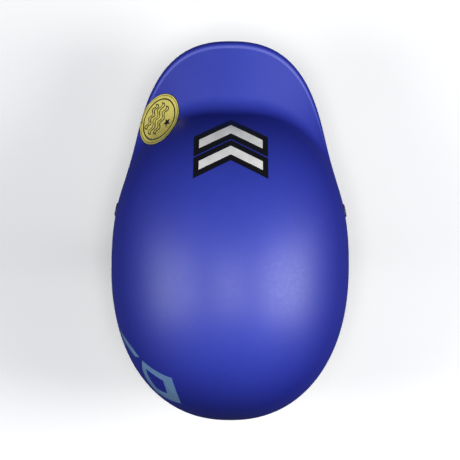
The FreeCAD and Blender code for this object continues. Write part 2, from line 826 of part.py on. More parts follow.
def chin_strap():
    """Single webbing from the slider round under the chin to the splice on the right."""
    half = size("web_thick") / 2
    layer = size("layer_offset")
    middle = V(0, -size("junction_forward"), size("loop_level"))
    meeting = touch_point() - middle
    touch = math.degrees(math.atan2(meeting.z, meeting.x))
    bend = mirrored(bend_point(1))
    chains = []
    for offset in (-layer - half, -layer + half):
        chain = chin_path(offset, SLIDER_STRAP_END, -180 - touch, touch)
        along = (bend - mirrored(touch_point())).normalize()
        out = mirrored(RUN_OUT)
        end = bend - along * CHIN_SPLICE + out * offset
        chain.append(Part.LineSegment(loop_point(-180 - touch, offset), end).toShape())
        chains.append(chain)
    feature("chin_strap", flat_band(*chains))
    tail = [chin_path(offset, SLIDER_STRAP_END, TAIL_END_ANGLE, touch)
            for offset in (layer - half, layer + half)]
    feature("strap_tail", flat_band(*tail))


# ---------------------------------------------------------------- strap dividers and keeper

DIVIDER_NAMES = {1: "divider_left", -1: "divider_right"}
DIVIDER_WALL_START = "1.5"


def strap_divider(side):
    """Flat plastic slide: two plates, joined by side walls below the junction."""
    body = new_body(DIVIDER_NAMES[side], DIVIDERS[side])
    half = "Sizes.divider_width / 2"
    plate = new_sketch(body, "XY_Plane", body.Name + "_outline")
    polygon(plate, [("-Sizes.divider_high", "-%s + 3" % half), ("-Sizes.divider_high + 5", "-%s" % half),
                    ("Sizes.divider_low - 5", "-%s" % half), ("Sizes.divider_low", "-%s + 2.5" % half),
                    ("Sizes.divider_low", "%s - 2.5" % half), ("Sizes.divider_low - 5", half),
                    ("-Sizes.divider_high + 5", half), ("-Sizes.divider_high", "%s - 3" % half)])
    pad(body, plate, "Sizes.divider_gap + 2 * Sizes.divider_plate", both_ways=True)
    round_edges(body, 2.0, runs_along(Z_AXIS))
    face_level = size("divider_gap") / 2 + size("divider_plate")
    round_edges(body, 0.7, lambda edge: abs(abs(edge.CenterOfMass.z) - face_level) < 0.01)
    channel = new_sketch(body, "XY_Plane", body.Name + "_channel")
    slot = "Sizes.divider_slot / 2"
    polygon(channel, [("-Sizes.divider_high - 1", "-Sizes.divider_width"),
                      (DIVIDER_WALL_START, "-Sizes.divider_width"), (DIVIDER_WALL_START, "-%s" % slot),
                      ("Sizes.divider_low + 1", "-%s" % slot), ("Sizes.divider_low + 1", slot),
                      (DIVIDER_WALL_START, slot), (DIVIDER_WALL_START, "Sizes.divider_width"),
                      ("-Sizes.divider_high - 1", "Sizes.divider_width")])
    pocket(body, channel, "Sizes.divider_gap", both_ways=True)


KEEPER_ANGLE = -80
KEEPER_LENGTH = "7"


def strap_keeper():
    """Rubber loop round the chin strap and its loose tail."""
    turn = math.radians(KEEPER_ANGLE)
    out = V(math.cos(turn), 0, math.sin(turn))
    body = new_body("strap_keeper", frame_at(loop_point(KEEPER_ANGLE, 0), Y_AXIS.cross(out), Y_AXIS, out))
    ring = new_sketch(body, "YZ_Plane", "keeper_outline")
    half_wide = "Sizes.web_width / 2 + 1.9"
    half_high = "Sizes.layer_offset + Sizes.web_thick / 2 + 1.7"
    rectangle(ring, "-(%s)" % half_wide, half_wide, "-(%s)" % half_high, half_high)
    pad(body, ring, KEEPER_LENGTH, both_ways=True)
    round_edges(body, 1.4, runs_along(X_AXIS))
    inside = new_sketch(body, "YZ_Plane", "keeper_inside")
    free_wide = "Sizes.web_width / 2 + 0.5"
    free_high = "Sizes.layer_offset + Sizes.web_thick / 2 + 0.5"
    rectangle(inside, "-(%s)" % free_wide, free_wide, "-(%s)" % free_high, free_high)
    pocket(body, inside, KEEPER_LENGTH + " + 2", both_ways=True)


# ---------------------------------------------------------------- buckle

CHANNEL_CLOSED_END = 8
TEE_BACK = 6
TEE_FRONT = 1
BASE_BLOCK_START = 11.2
BASE_MAGNET = -8.6
SLIDER_MAGNET = 5.8
MAGNET_SPREAD = 5
SLIDER_BODY_START = 2.6
LADDER_START = 9


def magnet_pockets(body, name, along):
    sketch = new_sketch(body, "XY_Plane", name)
    for across in (-MAGNET_SPREAD, MAGNET_SPREAD):
        circle(sketch, str(along), str(across), "Sizes.magnet_radius")
    pocket(body, sketch, "Sizes.magnet_thick", both_ways=True)


def magnets(name, along):
    members = []
    for number, across in enumerate((-MAGNET_SPREAD, MAGNET_SPREAD), start=1):
        place = BUCKLE_FRAME.multiply(FreeCAD.Placement(
            V(along, across, -size("magnet_thick") / 2), FreeCAD.Rotation()))
        members.append(cylinder("%s_%d" % (name, number), "Sizes.magnet_radius", "Sizes.magnet_thick", place))
    compound(name, members)


def buckle_base():
    """Fixed half: webbing slot above, side-entry tee channel below."""
    body = new_body("buckle_base", BUCKLE_FRAME)
    side = new_sketch(body, "XZ_Plane", "base_profile")
    block, top = str(-BASE_BLOCK_START), "-Sizes.base_top"
    polygon(side, [(top, "-Sizes.ladder_half"), (block, "-Sizes.ladder_half"),
                   (block, "-Sizes.buckle_half"), ("Sizes.base_bottom", "-Sizes.buckle_half"),
                   ("Sizes.base_bottom", "Sizes.buckle_half"), (block, "Sizes.buckle_half"),
                   (block, "Sizes.ladder_half"), (top, "Sizes.ladder_half")])
    pad(body, side, "Sizes.buckle_width", both_ways=True)
    end = size("base_top")
    round_edges(body, 3.0, lambda edge: runs_along(Z_AXIS)(edge) and edge.CenterOfMass.x < 1 - end)
    face_level = size("buckle_half")
    round_edges(body, 1.0, lambda edge: abs(abs(edge.CenterOfMass.z) - face_level) < 0.01)
    slot = new_sketch(body, "XY_Plane", "base_slot")
    rectangle(slot, "-Sizes.base_top + 3", "%s - 0.4" % block, "-Sizes.slot_width / 2",
              "Sizes.slot_width / 2")
    pocket(body, slot, "4 * Sizes.buckle_half", both_ways=True)
    tee = new_sketch(body, "XZ_Plane", "base_channel",
                     "-(Sizes.buckle_width / 2 + 1 - %d) / 2" % CHANNEL_CLOSED_END)
    back, front = str(-TEE_BACK), str(-TEE_FRONT)
    mouth = "Sizes.base_bottom + 1"
    polygon(tee, [(back, "-Sizes.tee_half"), (front, "-Sizes.tee_half"), (front, "-Sizes.neck_half"),
                  (mouth, "-Sizes.neck_half"), (mouth, "Sizes.neck_half"), (front, "Sizes.neck_half"),
                  (front, "Sizes.tee_half"), (back, "Sizes.tee_half")])
    pocket(body, tee, "Sizes.buckle_width / 2 + 1 + %d" % CHANNEL_CLOSED_END, both_ways=True)
    magnet_pockets(body, "base_magnet_pockets", BASE_MAGNET)
    magnets("buckle_base_magnets", BASE_MAGNET)


def buckle_slider():
    """Sliding half: tee tongue, magnet block and a ladder plate that the strap wraps round."""
    body = new_body("buckle_slider", BUCKLE_FRAME)
    side = new_sketch(body, "XZ_Plane", "slider_profile")
    upper = [("-%d + Sizes.tee_play" % TEE_BACK, "Sizes.tee_half - Sizes.tee_play"),
             ("-%d - Sizes.tee_play" % TEE_FRONT, "Sizes.tee_half - Sizes.tee_play"),
             ("-%d - Sizes.tee_play" % TEE_FRONT, "Sizes.neck_half - Sizes.tee_play"),
             (str(SLIDER_BODY_START), "Sizes.neck_half - Sizes.tee_play"),
             (str(SLIDER_BODY_START), "Sizes.slider_half"), (str(LADDER_START), "Sizes.slider_half"),
             (str(LADDER_START), "Sizes.ladder_half"), ("Sizes.slider_bottom", "Sizes.ladder_half")]
    lower = [(x, "-(%s)" % z) for x, z in reversed(upper)]
    polygon(side, upper + lower)
    pad(body, side, "Sizes.buckle_width", both_ways=True)
    bottom = size("slider_bottom")
    round_edges(body, 3.0, lambda edge: runs_along(Z_AXIS)(edge) and edge.CenterOfMass.x > bottom - 1)
    trim = new_sketch(body, "XY_Plane", "tongue_ends")
    rectangle(trim, "-%d - 1" % TEE_BACK, "%s - 0.3" % SLIDER_BODY_START,
              "-Sizes.buckle_width / 2 - 1", "-%d + Sizes.tee_play" % CHANNEL_CLOSED_END)
    rectangle(trim, "-%d - 1" % TEE_BACK, "%s - 0.3" % SLIDER_BODY_START,
              "Sizes.buckle_width / 2 - 0.5", "Sizes.buckle_width / 2 + 1")
    pocket(body, trim, "4 * Sizes.slider_half", both_ways=True)
    slot = new_sketch(body, "XY_Plane", "slider_slot")
    rectangle(slot, "%s + 0.6" % LADDER_START, "%s + 3.2" % LADDER_START, "-Sizes.slot_width / 2",
              "Sizes.slot_width / 2")
    pocket(body, slot, "4 * Sizes.slider_half", both_ways=True)
    magnet_pockets(body, "slider_magnet_pockets", SLIDER_MAGNET)
    seat = new_sketch(body, "XY_Plane", "pull_tab_seat")
    rectangle(seat, "3.3", "8.3", "Sizes.buckle_width / 2 - 3", "Sizes.buckle_width / 2 + 1")
    pocket(body, seat, "Sizes.web_thick", both_ways=True)
    magnets("buckle_slider_magnets", SLIDER_MAGNET)


def pull_tab():
    """Fabric tab on the slider's open side."""
    body = new_body("buckle_pull_tab", BUCKLE_FRAME)
    outline = new_sketch(body, "XY_Plane", "tab_outline")
    side = "Sizes.buckle_width / 2"
    end = side + " + Sizes.tab_length"
    middle = "5.8"
    half = "Sizes.tab_width / 2"
    polygon(outline, [("3.3", side + " - 3"), ("8.3", side + " - 3"), ("8.3", side + " + 1"),
                      (middle + " + " + half, side + " + 3"), (middle + " + " + half, end),
                      (middle + " - " + half, end), (middle + " - " + half, side + " + 3"),
                      ("3.3", side + " + 1")])
    pad(body, outline, "Sizes.web_thick", both_ways=True)
    far = size("buckle_width") / 2 + size("tab_length")
    round_edges(body, 2.5, lambda edge: runs_along(Z_AXIS)(edge) and edge.CenterOfMass.y > far - 1)


def strap_turn(name, sign, turn, bar_end, end):
    """Turn of webbing round a bar; its two legs close up again beyond the bar's far side."""
    body = new_body(name, BUCKLE_FRAME)
    side = new_sketch(body, "XZ_Plane", name + "_profile")
    near = "Sizes.layer_offset - Sizes.web_thick / 2"
    far = "Sizes.layer_offset + Sizes.web_thick / 2"
    inside = "Sizes.ladder_half + 0.2"
    outside = inside + " + Sizes.web_thick"
    upper = [(turn, inside), (bar_end + " + 0.4", inside), (end, near), (end, far),
             (bar_end + " + 0.6", outside), (turn + " - Sizes.web_thick", outside)]
    lower = [(x, "-(%s)" % z) for x, z in reversed(upper)]
    polygon(side, [("(%s) * %d" % (x, sign), z) for x, z in upper + lower])
    pad(body, side, "Sizes.web_width", both_ways=True)


def strap_turns():
    strap_turn("slider_strap_turn", 1, "%s + 3" % LADDER_START, "Sizes.slider_bottom",
               str(SLIDER_STRAP_END))
    strap_turn("base_strap_turn", -1, "Sizes.base_top - 3.2", "Sizes.base_top", str(BASE_STRAP_END))


# ---------------------------------------------------------------- fit system

FIT = FreeCAD.Placement(V(0, -size("stud_forward"), size("stud_level")),
                        FreeCAD.Rotation(X_AXIS, -size("fit_slope")))
# The same frame turned so that Z points rearwards along the dial's axis.
REAR = FIT.multiply(frame_at(V(0, 0, 0), X_AXIS, Z_AXIS * -1, Y_AXIS))
SIDES = {1: "left", -1: "right"}
EYE_GAP = 0.3


def fit_box(name, low, high):
    """Box in the fit frame between two corners given as pairs of numbers per axis."""
    box = doc.addObject("Part::Box", name)
    box.Length, box.Width, box.Height = [far - near for near, far in zip(low, high)]
    box.Placement = FIT.multiply(FreeCAD.Placement(V(*low), FreeCAD.Rotation()))
    return box


def stud_part(name, side, start, radius, height):
    turn = FreeCAD.Rotation(Z_AXIS, X_AXIS * side)
    place = FreeCAD.Placement(V(side * start, -size("stud_forward"), size("stud_level")), turn)
    return cylinder(name, radius, height, place)


def temple_studs():
    """Push-in studs in the liner that the arms turn on."""
    studs = []
    face = size("arm_offset") + size("arm_thick") / 2
    head = size("arm_offset") - size("arm_thick") / 2 - EYE_GAP - 1.2
    for side, word in SIDES.items():
        tag = "stud_%s" % word
        members = [
            stud_part(tag + "_head", side, head, "Sizes.stud_radius + 1.5", "1.2"),
            stud_part(tag + "_shaft", side, head, "Sizes.stud_radius", "8"),
            stud_part(tag + "_flange", side, face + EYE_GAP, "Sizes.stud_radius + 3", "1.4"),
            stud_part(tag + "_plug", side, face + EYE_GAP, "%d" % STUD_PLUG_RADIUS, "11"),
        ]
        whole = doc.addObject("Part::MultiFuse", tag)
        whole.Shapes = members
        studs.append(whole)
    compound("temple_studs", studs)


def arm(side):
    """Flat arm from the stud back into the cradle's hollow wing."""
    body = new_body("arm_" + SIDES[side], FIT)
    lift = "Sizes.arm_offset * %d" % side
    eye = new_sketch(body, "YZ_Plane", body.Name + "_eye", lift)
    circle(eye, "0", "0", "Sizes.eye_radius")
    pad(body, eye, "Sizes.arm_thick", both_ways=True)
    blade = new_sketch(body, "YZ_Plane", body.Name + "_blade", lift)
    rectangle(blade, "0", "Sizes.arm_reach", "-Sizes.arm_half", "Sizes.arm_half")
    pad(body, blade, "Sizes.arm_thick", both_ways=True)
    hole = new_sketch(body, "YZ_Plane", body.Name + "_hole", lift)
    circle(hole, "0", "0", "Sizes.stud_radius + Sizes.running_play")
    pocket(body, hole, "4 * Sizes.arm_thick", both_ways=True)
    end = size("arm_reach")
    round_edges(body, 4.0, lambda edge: runs_along(X_AXIS)(edge) and edge.CenterOfMass.y > end - 0.5)


WINDOW_ANGLES = (-64, -40, 40, 64)
WINDOW_HALF_HEIGHT = 4
WINDOW_HALF_LENGTH = 9
COVER_SCREW_PLACES = [(x, z) for x in (-29.5, 29.5) for z in (-7.5, 7.5)]
COVER_SCREW_DEPTH = 7
HOUSING_ROUNDING = 4


def band_cylinder(name, radius, half_height):
    base = FIT.multiply(FreeCAD.Placement(V(0, size("bend_start"), -half_height), FreeCAD.Rotation()))
    return cylinder(name, radius, "2 * %s" % half_height, base)


def cut_all(name, base, tools):
    gathered = doc.addObject("Part::Compound", name + "_tools")
    gathered.Links = tools
    return boolean("Part::Cut", name, base, gathered)


def cradle_window(number, angle):
    """Long round-ended tool that opens the band at an angle from the nape."""
    turn = FreeCAD.Rotation(Z_AXIS, angle)
    centre = V(0, size("bend_start"), 0)
    start = size("band_radius") - 15
    members = []
    for end in (-1, 1):
        spot = centre + turn.multVec(V(end * WINDOW_HALF_LENGTH, start, 0))
        place = FreeCAD.Placement(spot, turn.multiply(FreeCAD.Rotation(Z_AXIS, Y_AXIS)))
        members.append(cylinder("window_%d_end_%d" % (number, end + 2), str(WINDOW_HALF_HEIGHT), "30",
                                FIT.multiply(place)))
    middle = doc.addObject("Part::Box", "window_%d_middle" % number)
    middle.Length, middle.Width, middle.Height = 2 * WINDOW_HALF_LENGTH, 30, 2 * WINDOW_HALF_HEIGHT
    corner = centre + turn.multVec(V(-WINDOW_HALF_LENGTH, start, -WINDOW_HALF_HEIGHT))
    middle.Placement = FIT.multiply(FreeCAD.Placement(corner, turn))
    whole = doc.addObject("Part::MultiFuse", "window_%d" % number)
    whole.Shapes = members + [middle]
    return whole


def cradle():
    """Bent band with hollow wings for the arms and a housing for the dial's gearing."""
    half = size("band_half")
    start = size("bend_start")
    width = size("house_half_width")
    height = size("house_half_height")
    back = size("house_back")
    outer = band_cylinder("band_outer", "Sizes.band_radius + Sizes.band_thick / 2", half)
    front_half = fit_box("band_front_half", (-120, start - 200, -50), (120, start, 50))
    slope = math.degrees(math.atan((half - size("wing_half")) / size("band_radius")))
    trims = [front_half]
    for sign in (1, -1):
        trim = doc.addObject("Part::Box", "band_trim_%s" % ("top" if sign > 0 else "bottom"))
        trim.Length, trim.Width, trim.Height = 240, 200, 40
        tilt = FreeCAD.Rotation(X_AXIS, sign * slope)
        corner = V(-120, start, sign * size("wing_half")) + tilt.multVec(V(0, -50, 0 if sign > 0 else -40))
        trim.Placement = FIT.multiply(FreeCAD.Placement(corner, tilt))
        trims.append(trim)
    band = cut_all("band_shape", outer, trims)
    housing = fit_box("housing_block", (-width, start + size("band_radius") - 14, -height),
                      (width, back, height))
    doc.recompute()
    rounded = doc.addObject("Part::Fillet", "housing_rounded")
    rounded.Base = housing
    rearward = FIT.Rotation.multVec(Y_AXIS)
    rounded.Edges = [(number + 1, HOUSING_ROUNDING, HOUSING_ROUNDING)
                     for number, edge in enumerate(housing.Shape.Edges) if runs_along(rearward)(edge)]
    outside = doc.addObject("Part::MultiFuse", "cradle_outside")
    outside.Shapes = [band, rounded]
    inner = band_cylinder("band_inner", "Sizes.band_radius - Sizes.band_thick / 2", half + 1)
    hollow = boolean("Part::Cut", "cradle_hollow", outside, inner)
    wings, slots = [], []
    for side, word in SIDES.items():
        for kind, thick, low, high, tall in (
                ("wing", size("wing_thick"), size("wing_start"), start + 7, size("wing_half")),
                ("slot", size("wing_slot"), size("wing_start") - 1, start + 5.5, size("arm_half") + 0.5)):
            middle = side * size("arm_offset")
            box = fit_box("%s_%s" % (kind, word), (middle - thick / 2, low, -tall),
                          (middle + thick / 2, high, tall))
            (wings if kind == "wing" else slots).append(box)
    joined = doc.addObject("Part::MultiFuse", "cradle_joined")
    joined.Shapes = [hollow] + wings
    cavity_width = size("cavity_half_width")
    cavity_height = size("cavity_half_height")
    chamber = fit_box("rack_chamber", (-cavity_width, size("cavity_floor"), -cavity_height),
                      (cavity_width, back + 1, cavity_height))
    tools = slots + [chamber]
    tools += [cradle_window(number, angle) for number, angle in enumerate(WINDOW_ANGLES, start=1)]
    for number, (x, z) in enumerate(COVER_SCREW_PLACES, start=1):
        place = REAR.multiply(FreeCAD.Placement(V(x, z, back - COVER_SCREW_DEPTH), FreeCAD.Rotation()))
        tools.append(cylinder("cover_screw_bore_%d" % number, "Sizes.cover_screw_radius", "8", place))
    keep("cradle", cut_all("cradle_whole", joined, tools))


def cradle_cover():
    body = new_body("cradle_cover", REAR)
    plate = new_sketch(body, "XY_Plane", "cover_outline", "Sizes.house_back")
    rectangle(plate, "-Sizes.house_half_width", "Sizes.house_half_width", "-Sizes.house_half_height",
              "Sizes.house_half_height")
    pad(body, plate, "Sizes.cover_thick")
    round_edges(body, HOUSING_ROUNDING, runs_along(Z_AXIS))
    holes = new_sketch(body, "XY_Plane", "cover_holes", "Sizes.house_back + Sizes.cover_thick")
    circle(holes, "0", "0", "Sizes.shaft_radius + Sizes.running_play")
    for x, y in COVER_SCREW_PLACES:
        circle(holes, str(x), str(y), "Sizes.cover_screw_radius")
    pocket(body, holes, "2 * Sizes.cover_thick")


def cover_screws():
    members = []
    face = size("house_back") + size("cover_thick")
    for number, (x, y) in enumerate(COVER_SCREW_PLACES, start=1):
        tag = "cover_screw_%d" % number
        stem_start = size("house_back") - COVER_SCREW_DEPTH
        stem = cylinder(tag + "_stem", "Sizes.cover_screw_radius", str(face - stem_start),
                        REAR.multiply(FreeCAD.Placement(V(x, y, stem_start), FreeCAD.Rotation())))
        head = cylinder(tag + "_head", "1.9 * Sizes.cover_screw_radius", "1",
                        REAR.multiply(FreeCAD.Placement(V(x, y, face), FreeCAD.Rotation())))
        members.append(boolean("Part::Fuse", tag, stem, head))
    compound("cover_screws", members)


def cradle_pads():
    """Two foam pads inside the band, one each side of the nape."""
    outer = size("band_radius") - size("band_thick") / 2 - 0.3
    pads_made = []
    for start in (44, 102):
        sectors = [Part.makeCylinder(radius, 2 * size("pad_thick") + 6, V(0, size("bend_start"), -9),
                                     Z_AXIS, 34) for radius in (outer, outer - 5)]
        pad_shape = sectors[0].cut(sectors[1])
        pad_shape.rotate(V(0, size("bend_start"), 0), Z_AXIS, start)
        pads_made.append(pad_shape)
    both = Part.makeCompound(pads_made)
    both.Placement = FIT
    feature("cradle_pads", both)


PINION_ROOT = "Sizes.pitch_radius - Sizes.tooth_root"
TOOTH_HALF_TOP = "0.35"
TOOTH_HALF_FOOT = "0.95"


def pattern(body, kind, name, original):
    repeat = body.newObject(kind, name)
    repeat.Originals = [original]
    return repeat


def dial_pinion():
    """Pinion with its shaft, bored for the dial screw."""
    body = new_body("dial_pinion", REAR)
    hub = new_sketch(body, "XY_Plane", "pinion_hub", "Sizes.gear_floor")
    circle(hub, "0", "0", PINION_ROOT)
    pad(body, hub, "Sizes.gear_thick")
    tooth = new_sketch(body, "XY_Plane", "pinion_tooth", "Sizes.gear_floor")
    foot = PINION_ROOT + " - 0.4"
    tip = "Sizes.pitch_radius + Sizes.tooth_top"
    polygon(tooth, [("-" + TOOTH_HALF_FOOT, foot), (TOOTH_HALF_FOOT, foot),
                    (TOOTH_HALF_TOP, tip), ("-" + TOOTH_HALF_TOP, tip)])
    tooth_pad = pad(body, tooth, "Sizes.gear_thick")
    doc.recompute()
    ring = pattern(body, "PartDesign::PolarPattern", "pinion_teeth_ring", tooth_pad)
    ring.Axis = (tooth, ["N_Axis"])
    ring.Angle = 360
    ring.Occurrences = int(size("pinion_teeth"))
    body.Tip = ring
    shaft = new_sketch(body, "XY_Plane", "pinion_shaft", "Sizes.gear_floor + Sizes.gear_thick")
    circle(shaft, "0", "0", "Sizes.shaft_radius")
    pad(body, shaft, "Sizes.knob_front + 6.5 - Sizes.gear_floor - Sizes.gear_thick")
    bore = new_sketch(body, "XY_Plane", "pinion_bore", "Sizes.knob_front + 6.5")
    circle(bore, "0", "0", "Sizes.screw_radius")
    pocket(body, bore, "9")


def rack(side):
    """Toothed rack; the left one runs above the pinion and the right one below."""
    body = new_body("rack_" + SIDES[side], REAR)
    near = "Sizes.rack_start" if side > 0 else "-Sizes.rack_start - Sizes.rack_length"
    root = "(Sizes.pitch_radius + Sizes.tooth_root) * %d" % -side
    edge = "Sizes.rack_back_edge * %d" % -side
    bar = new_sketch(body, "XY_Plane", body.Name + "_bar", "Sizes.gear_floor")
    rectangle(bar, near, near + " + Sizes.rack_length", root, edge)
    pad(body, bar, "Sizes.gear_thick")
    tooth = new_sketch(body, "XY_Plane", body.Name + "_tooth", "Sizes.gear_floor")
    pitch = 2 * math.pi * size("pitch_radius") / size("pinion_teeth")
    first = -1.5 * pitch if side > 0 else 1.5 * pitch - 9 * pitch
    tip = "(Sizes.pitch_radius - Sizes.tooth_top) * %d" % -side
    foot = "(Sizes.pitch_radius + Sizes.tooth_root + 0.2) * %d" % -side
    polygon(tooth, [("%.4f - %s" % (first, TOOTH_HALF_FOOT), foot),
                    ("%.4f + %s" % (first, TOOTH_HALF_FOOT), foot),
                    ("%.4f + %s" % (first, TOOTH_HALF_TOP), tip),
                    ("%.4f - %s" % (first, TOOTH_HALF_TOP), tip)])
    tooth_pad = pad(body, tooth, "Sizes.gear_thick")
    doc.recompute()
    row = pattern(body, "PartDesign::LinearPattern", body.Name + "_teeth", tooth_pad)
    row.Direction = (tooth, ["H_Axis"])
    row.Length = 9 * pitch
    row.Occurrences = 10
    body.Tip = row


def dial_knob():
    """Dial with grip hollows, a shaft socket and a screw recess."""
    body = new_body("dial_knob", REAR)
    disc = new_sketch(body, "XY_Plane", "knob_disc", "Sizes.knob_front")
    circle(disc, "0", "0", "Sizes.knob_radius")
    pad(body, disc, "Sizes.knob_thick")
    round_edges(body, 1.5, lambda edge: edge.isClosed())
    back = "Sizes.knob_front + Sizes.knob_thick"
    grip = new_sketch(body, "XY_Plane", "knob_grip", back)
    circle(grip, "Sizes.knob_radius + 0.4", "0", "Sizes.grip_radius")
    grip_cut = pocket(body, grip, "2 * Sizes.knob_thick")
    ring = pattern(body, "PartDesign::PolarPattern", "knob_grips_ring", grip_cut)
    ring.Axis = (grip, ["N_Axis"])
    ring.Angle = 360
    ring.Occurrences = int(size("knob_grips"))
    body.Tip = ring
    recess = new_sketch(body, "XY_Plane", "knob_recess", back)
    circle(recess, "0", "0", "Sizes.screw_head_radius + 0.1")
    pocket(body, recess, "2")
    through = new_sketch(body, "XY_Plane", "knob_screw_hole", back)
    circle(through, "0", "0", "Sizes.screw_radius")
    pocket(body, through, "2 * Sizes.knob_thick")
    socket = new_sketch(body, "XY_Plane", "knob_socket", "Sizes.knob_front")
    circle(socket, "0", "0", "Sizes.shaft_radius")
    pocket(body, socket, "6.5", reverse=True)


def dial_screw():
    seat = size("knob_front") + size("knob_thick") - 2
    stem = cylinder("dial_screw_stem", "Sizes.screw_radius", "9.5",
                    REAR.multiply(FreeCAD.Placement(V(0, 0, seat - 9.5), FreeCAD.Rotation())))
    head = cylinder("dial_screw_head", "Sizes.screw_head_radius", "1.7",
                    REAR.multiply(FreeCAD.Placement(V(0, 0, seat), FreeCAD.Rotation())))
    keep("dial_screw", boolean("Part::Fuse", "dial_screw_whole", stem, head))


# ---------------------------------------------------------------- stickers

BADGE_PLACE = (61.2, -124)
BADGE_HEADING = 67
CHEVRON_TIPS = (-119, -101)
LABEL_CORNERS = [(2, -14), (34, -16), (34, -25), (2, -26)]


def chevron(tip):
    """Forward-pointing chevron in plan with its tip at the given place."""
    arm_reach = 28
    arm_back = 14
    band = 12
    return [V(0, tip, 0), V(-arm_reach, tip + arm_back, 0), V(-arm_reach, tip + arm_back + band, 0),
            V(0, tip + band, 0), V(arm_reach, tip + arm_back + band, 0), V(arm_reach, tip + arm_back, 0)]


def stickers():
    """Thin printed stickers that follow the shell: two chevrons, a round badge, a side label."""
    film = skin_solid(-0.05, -0.05 - size("sticker_thick"))
    pieces = []
    for tip in CHEVRON_TIPS:
        corners = chevron(tip)
        prism = Part.Face(Part.makePolygon(corners + [corners[0]])).extrude(Z_AXIS * 150)
        pieces.append(film.common(prism))
    feature("chevron_stickers", Part.makeCompound(pieces))
    heading = math.radians(BADGE_HEADING)
    centre = V(*BADGE_PLACE, -60)
    long_end = centre + V(math.cos(heading), math.sin(heading), 0) * size("badge_length")
    short_end = centre + V(math.sin(heading), -math.cos(heading), 0) * size("badge_width")
    oval = Part.Wire(Part.Ellipse(long_end, short_end, centre).toShape())
    feature("round_badge", film.common(Part.Face(oval).extrude(Z_AXIS * 90)))
    corners = [V(70, y, z) for y, z in LABEL_CORNERS]
    prism = Part.Face(Part.makePolygon(corners + [corners[0]])).extrude(X_AXIS * 60)
    feature("side_label", film.common(prism))


# ---------------------------------------------------------------- build, check and write

def build_all():
    outer_shell()
    liner()
    pads()
    hook_dots()
    rivets()
    upper_straps()
    lower_straps()
    chin_strap()
    for side in (1, -1):
        strap_divider(side)
        arm(side)
        rack(side)
    strap_keeper()
    buckle_base()
    buckle_slider()
    pull_tab()
    strap_turns()
    temple_studs()
    cradle()
    cradle_cover()
    cover_screws()
    cradle_pads()
    dial_pinion()
    dial_knob()
    dial_screw()
    stickers()


def check_and_write():
    doc.recompute()
    for obj in doc.Objects:
        if "Invalid" in obj.State or "Error" in obj.State:
            raise RuntimeError("%s failed: %s" % (obj.Name, obj.State))
    os.makedirs("parts", exist_ok=True)
    for name, obj in NODES.items():
        shape = obj.Shape
        if shape.isNull() or not shape.isValid():
            raise RuntimeError(name + " has no valid shape")
        shape.exportStep("parts/%s.step" % name)
        print("%-24s solids %d  volume %.0f" % (name, len(shape.Solids), shape.Volume))


build_all()
check_and_write()
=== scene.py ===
"""Looks of the brimmed water sports helmet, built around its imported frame.

Metres and degrees. +Z is up, -Y is forward (towards the brim) and +X is the wearer's left.
"""

import math

import bmesh
import bpy
import numpy as np
from mathutils import Matrix, Vector
from mathutils.bvhtree import BVHTree
from mathutils.geometry import delaunay_2d_cdt


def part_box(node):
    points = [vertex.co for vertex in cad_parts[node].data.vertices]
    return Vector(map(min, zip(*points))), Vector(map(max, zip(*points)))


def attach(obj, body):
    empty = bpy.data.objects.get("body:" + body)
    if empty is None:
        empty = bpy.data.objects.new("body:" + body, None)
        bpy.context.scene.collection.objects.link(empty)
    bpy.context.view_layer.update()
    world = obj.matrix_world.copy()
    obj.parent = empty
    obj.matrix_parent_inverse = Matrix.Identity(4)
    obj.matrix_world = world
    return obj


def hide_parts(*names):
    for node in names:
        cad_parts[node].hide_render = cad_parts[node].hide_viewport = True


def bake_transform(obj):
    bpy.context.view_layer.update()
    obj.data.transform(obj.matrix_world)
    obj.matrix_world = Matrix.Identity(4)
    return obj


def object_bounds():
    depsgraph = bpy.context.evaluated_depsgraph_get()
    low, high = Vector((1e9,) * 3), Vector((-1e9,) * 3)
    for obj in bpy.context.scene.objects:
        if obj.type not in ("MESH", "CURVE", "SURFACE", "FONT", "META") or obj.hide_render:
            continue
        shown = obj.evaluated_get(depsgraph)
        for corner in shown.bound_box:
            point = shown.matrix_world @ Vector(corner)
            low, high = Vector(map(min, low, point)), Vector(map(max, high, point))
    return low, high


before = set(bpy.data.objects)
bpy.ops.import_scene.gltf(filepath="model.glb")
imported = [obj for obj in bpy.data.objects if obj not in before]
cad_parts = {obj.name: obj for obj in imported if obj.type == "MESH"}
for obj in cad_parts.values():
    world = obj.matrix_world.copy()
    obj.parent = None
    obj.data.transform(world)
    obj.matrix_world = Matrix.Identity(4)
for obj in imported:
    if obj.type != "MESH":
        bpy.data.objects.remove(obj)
CAD_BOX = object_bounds()
X_AXIS = Vector((1, 0, 0))
Y_AXIS = Vector((0, 1, 0))
Z_AXIS = Vector((0, 0, 1))
SIDES = {1: "left", -1: "right"}
SAME_POINT = 1e-6


# ---------------------------------------------------------------- meshes

def linked(name, data):
    """New object in the scene."""
    obj = bpy.data.objects.new(name, data)
    bpy.context.scene.collection.objects.link(obj)
    return obj


def painted(mesh, *materials):
    """Give a mesh these materials and no others."""
    mesh.materials.clear()
    for material in materials:
        mesh.materials.append(material)


def edited(mesh, edit):
    """Run an edit on a mesh in its editable form."""
    tool = bmesh.new()
    tool.from_mesh(mesh)
    edit(tool)
    tool.to_mesh(mesh)
    tool.free()


def merged(tool):
    """Join points that lie on each other."""
    bmesh.ops.remove_doubles(tool, verts=tool.verts, dist=SAME_POINT)


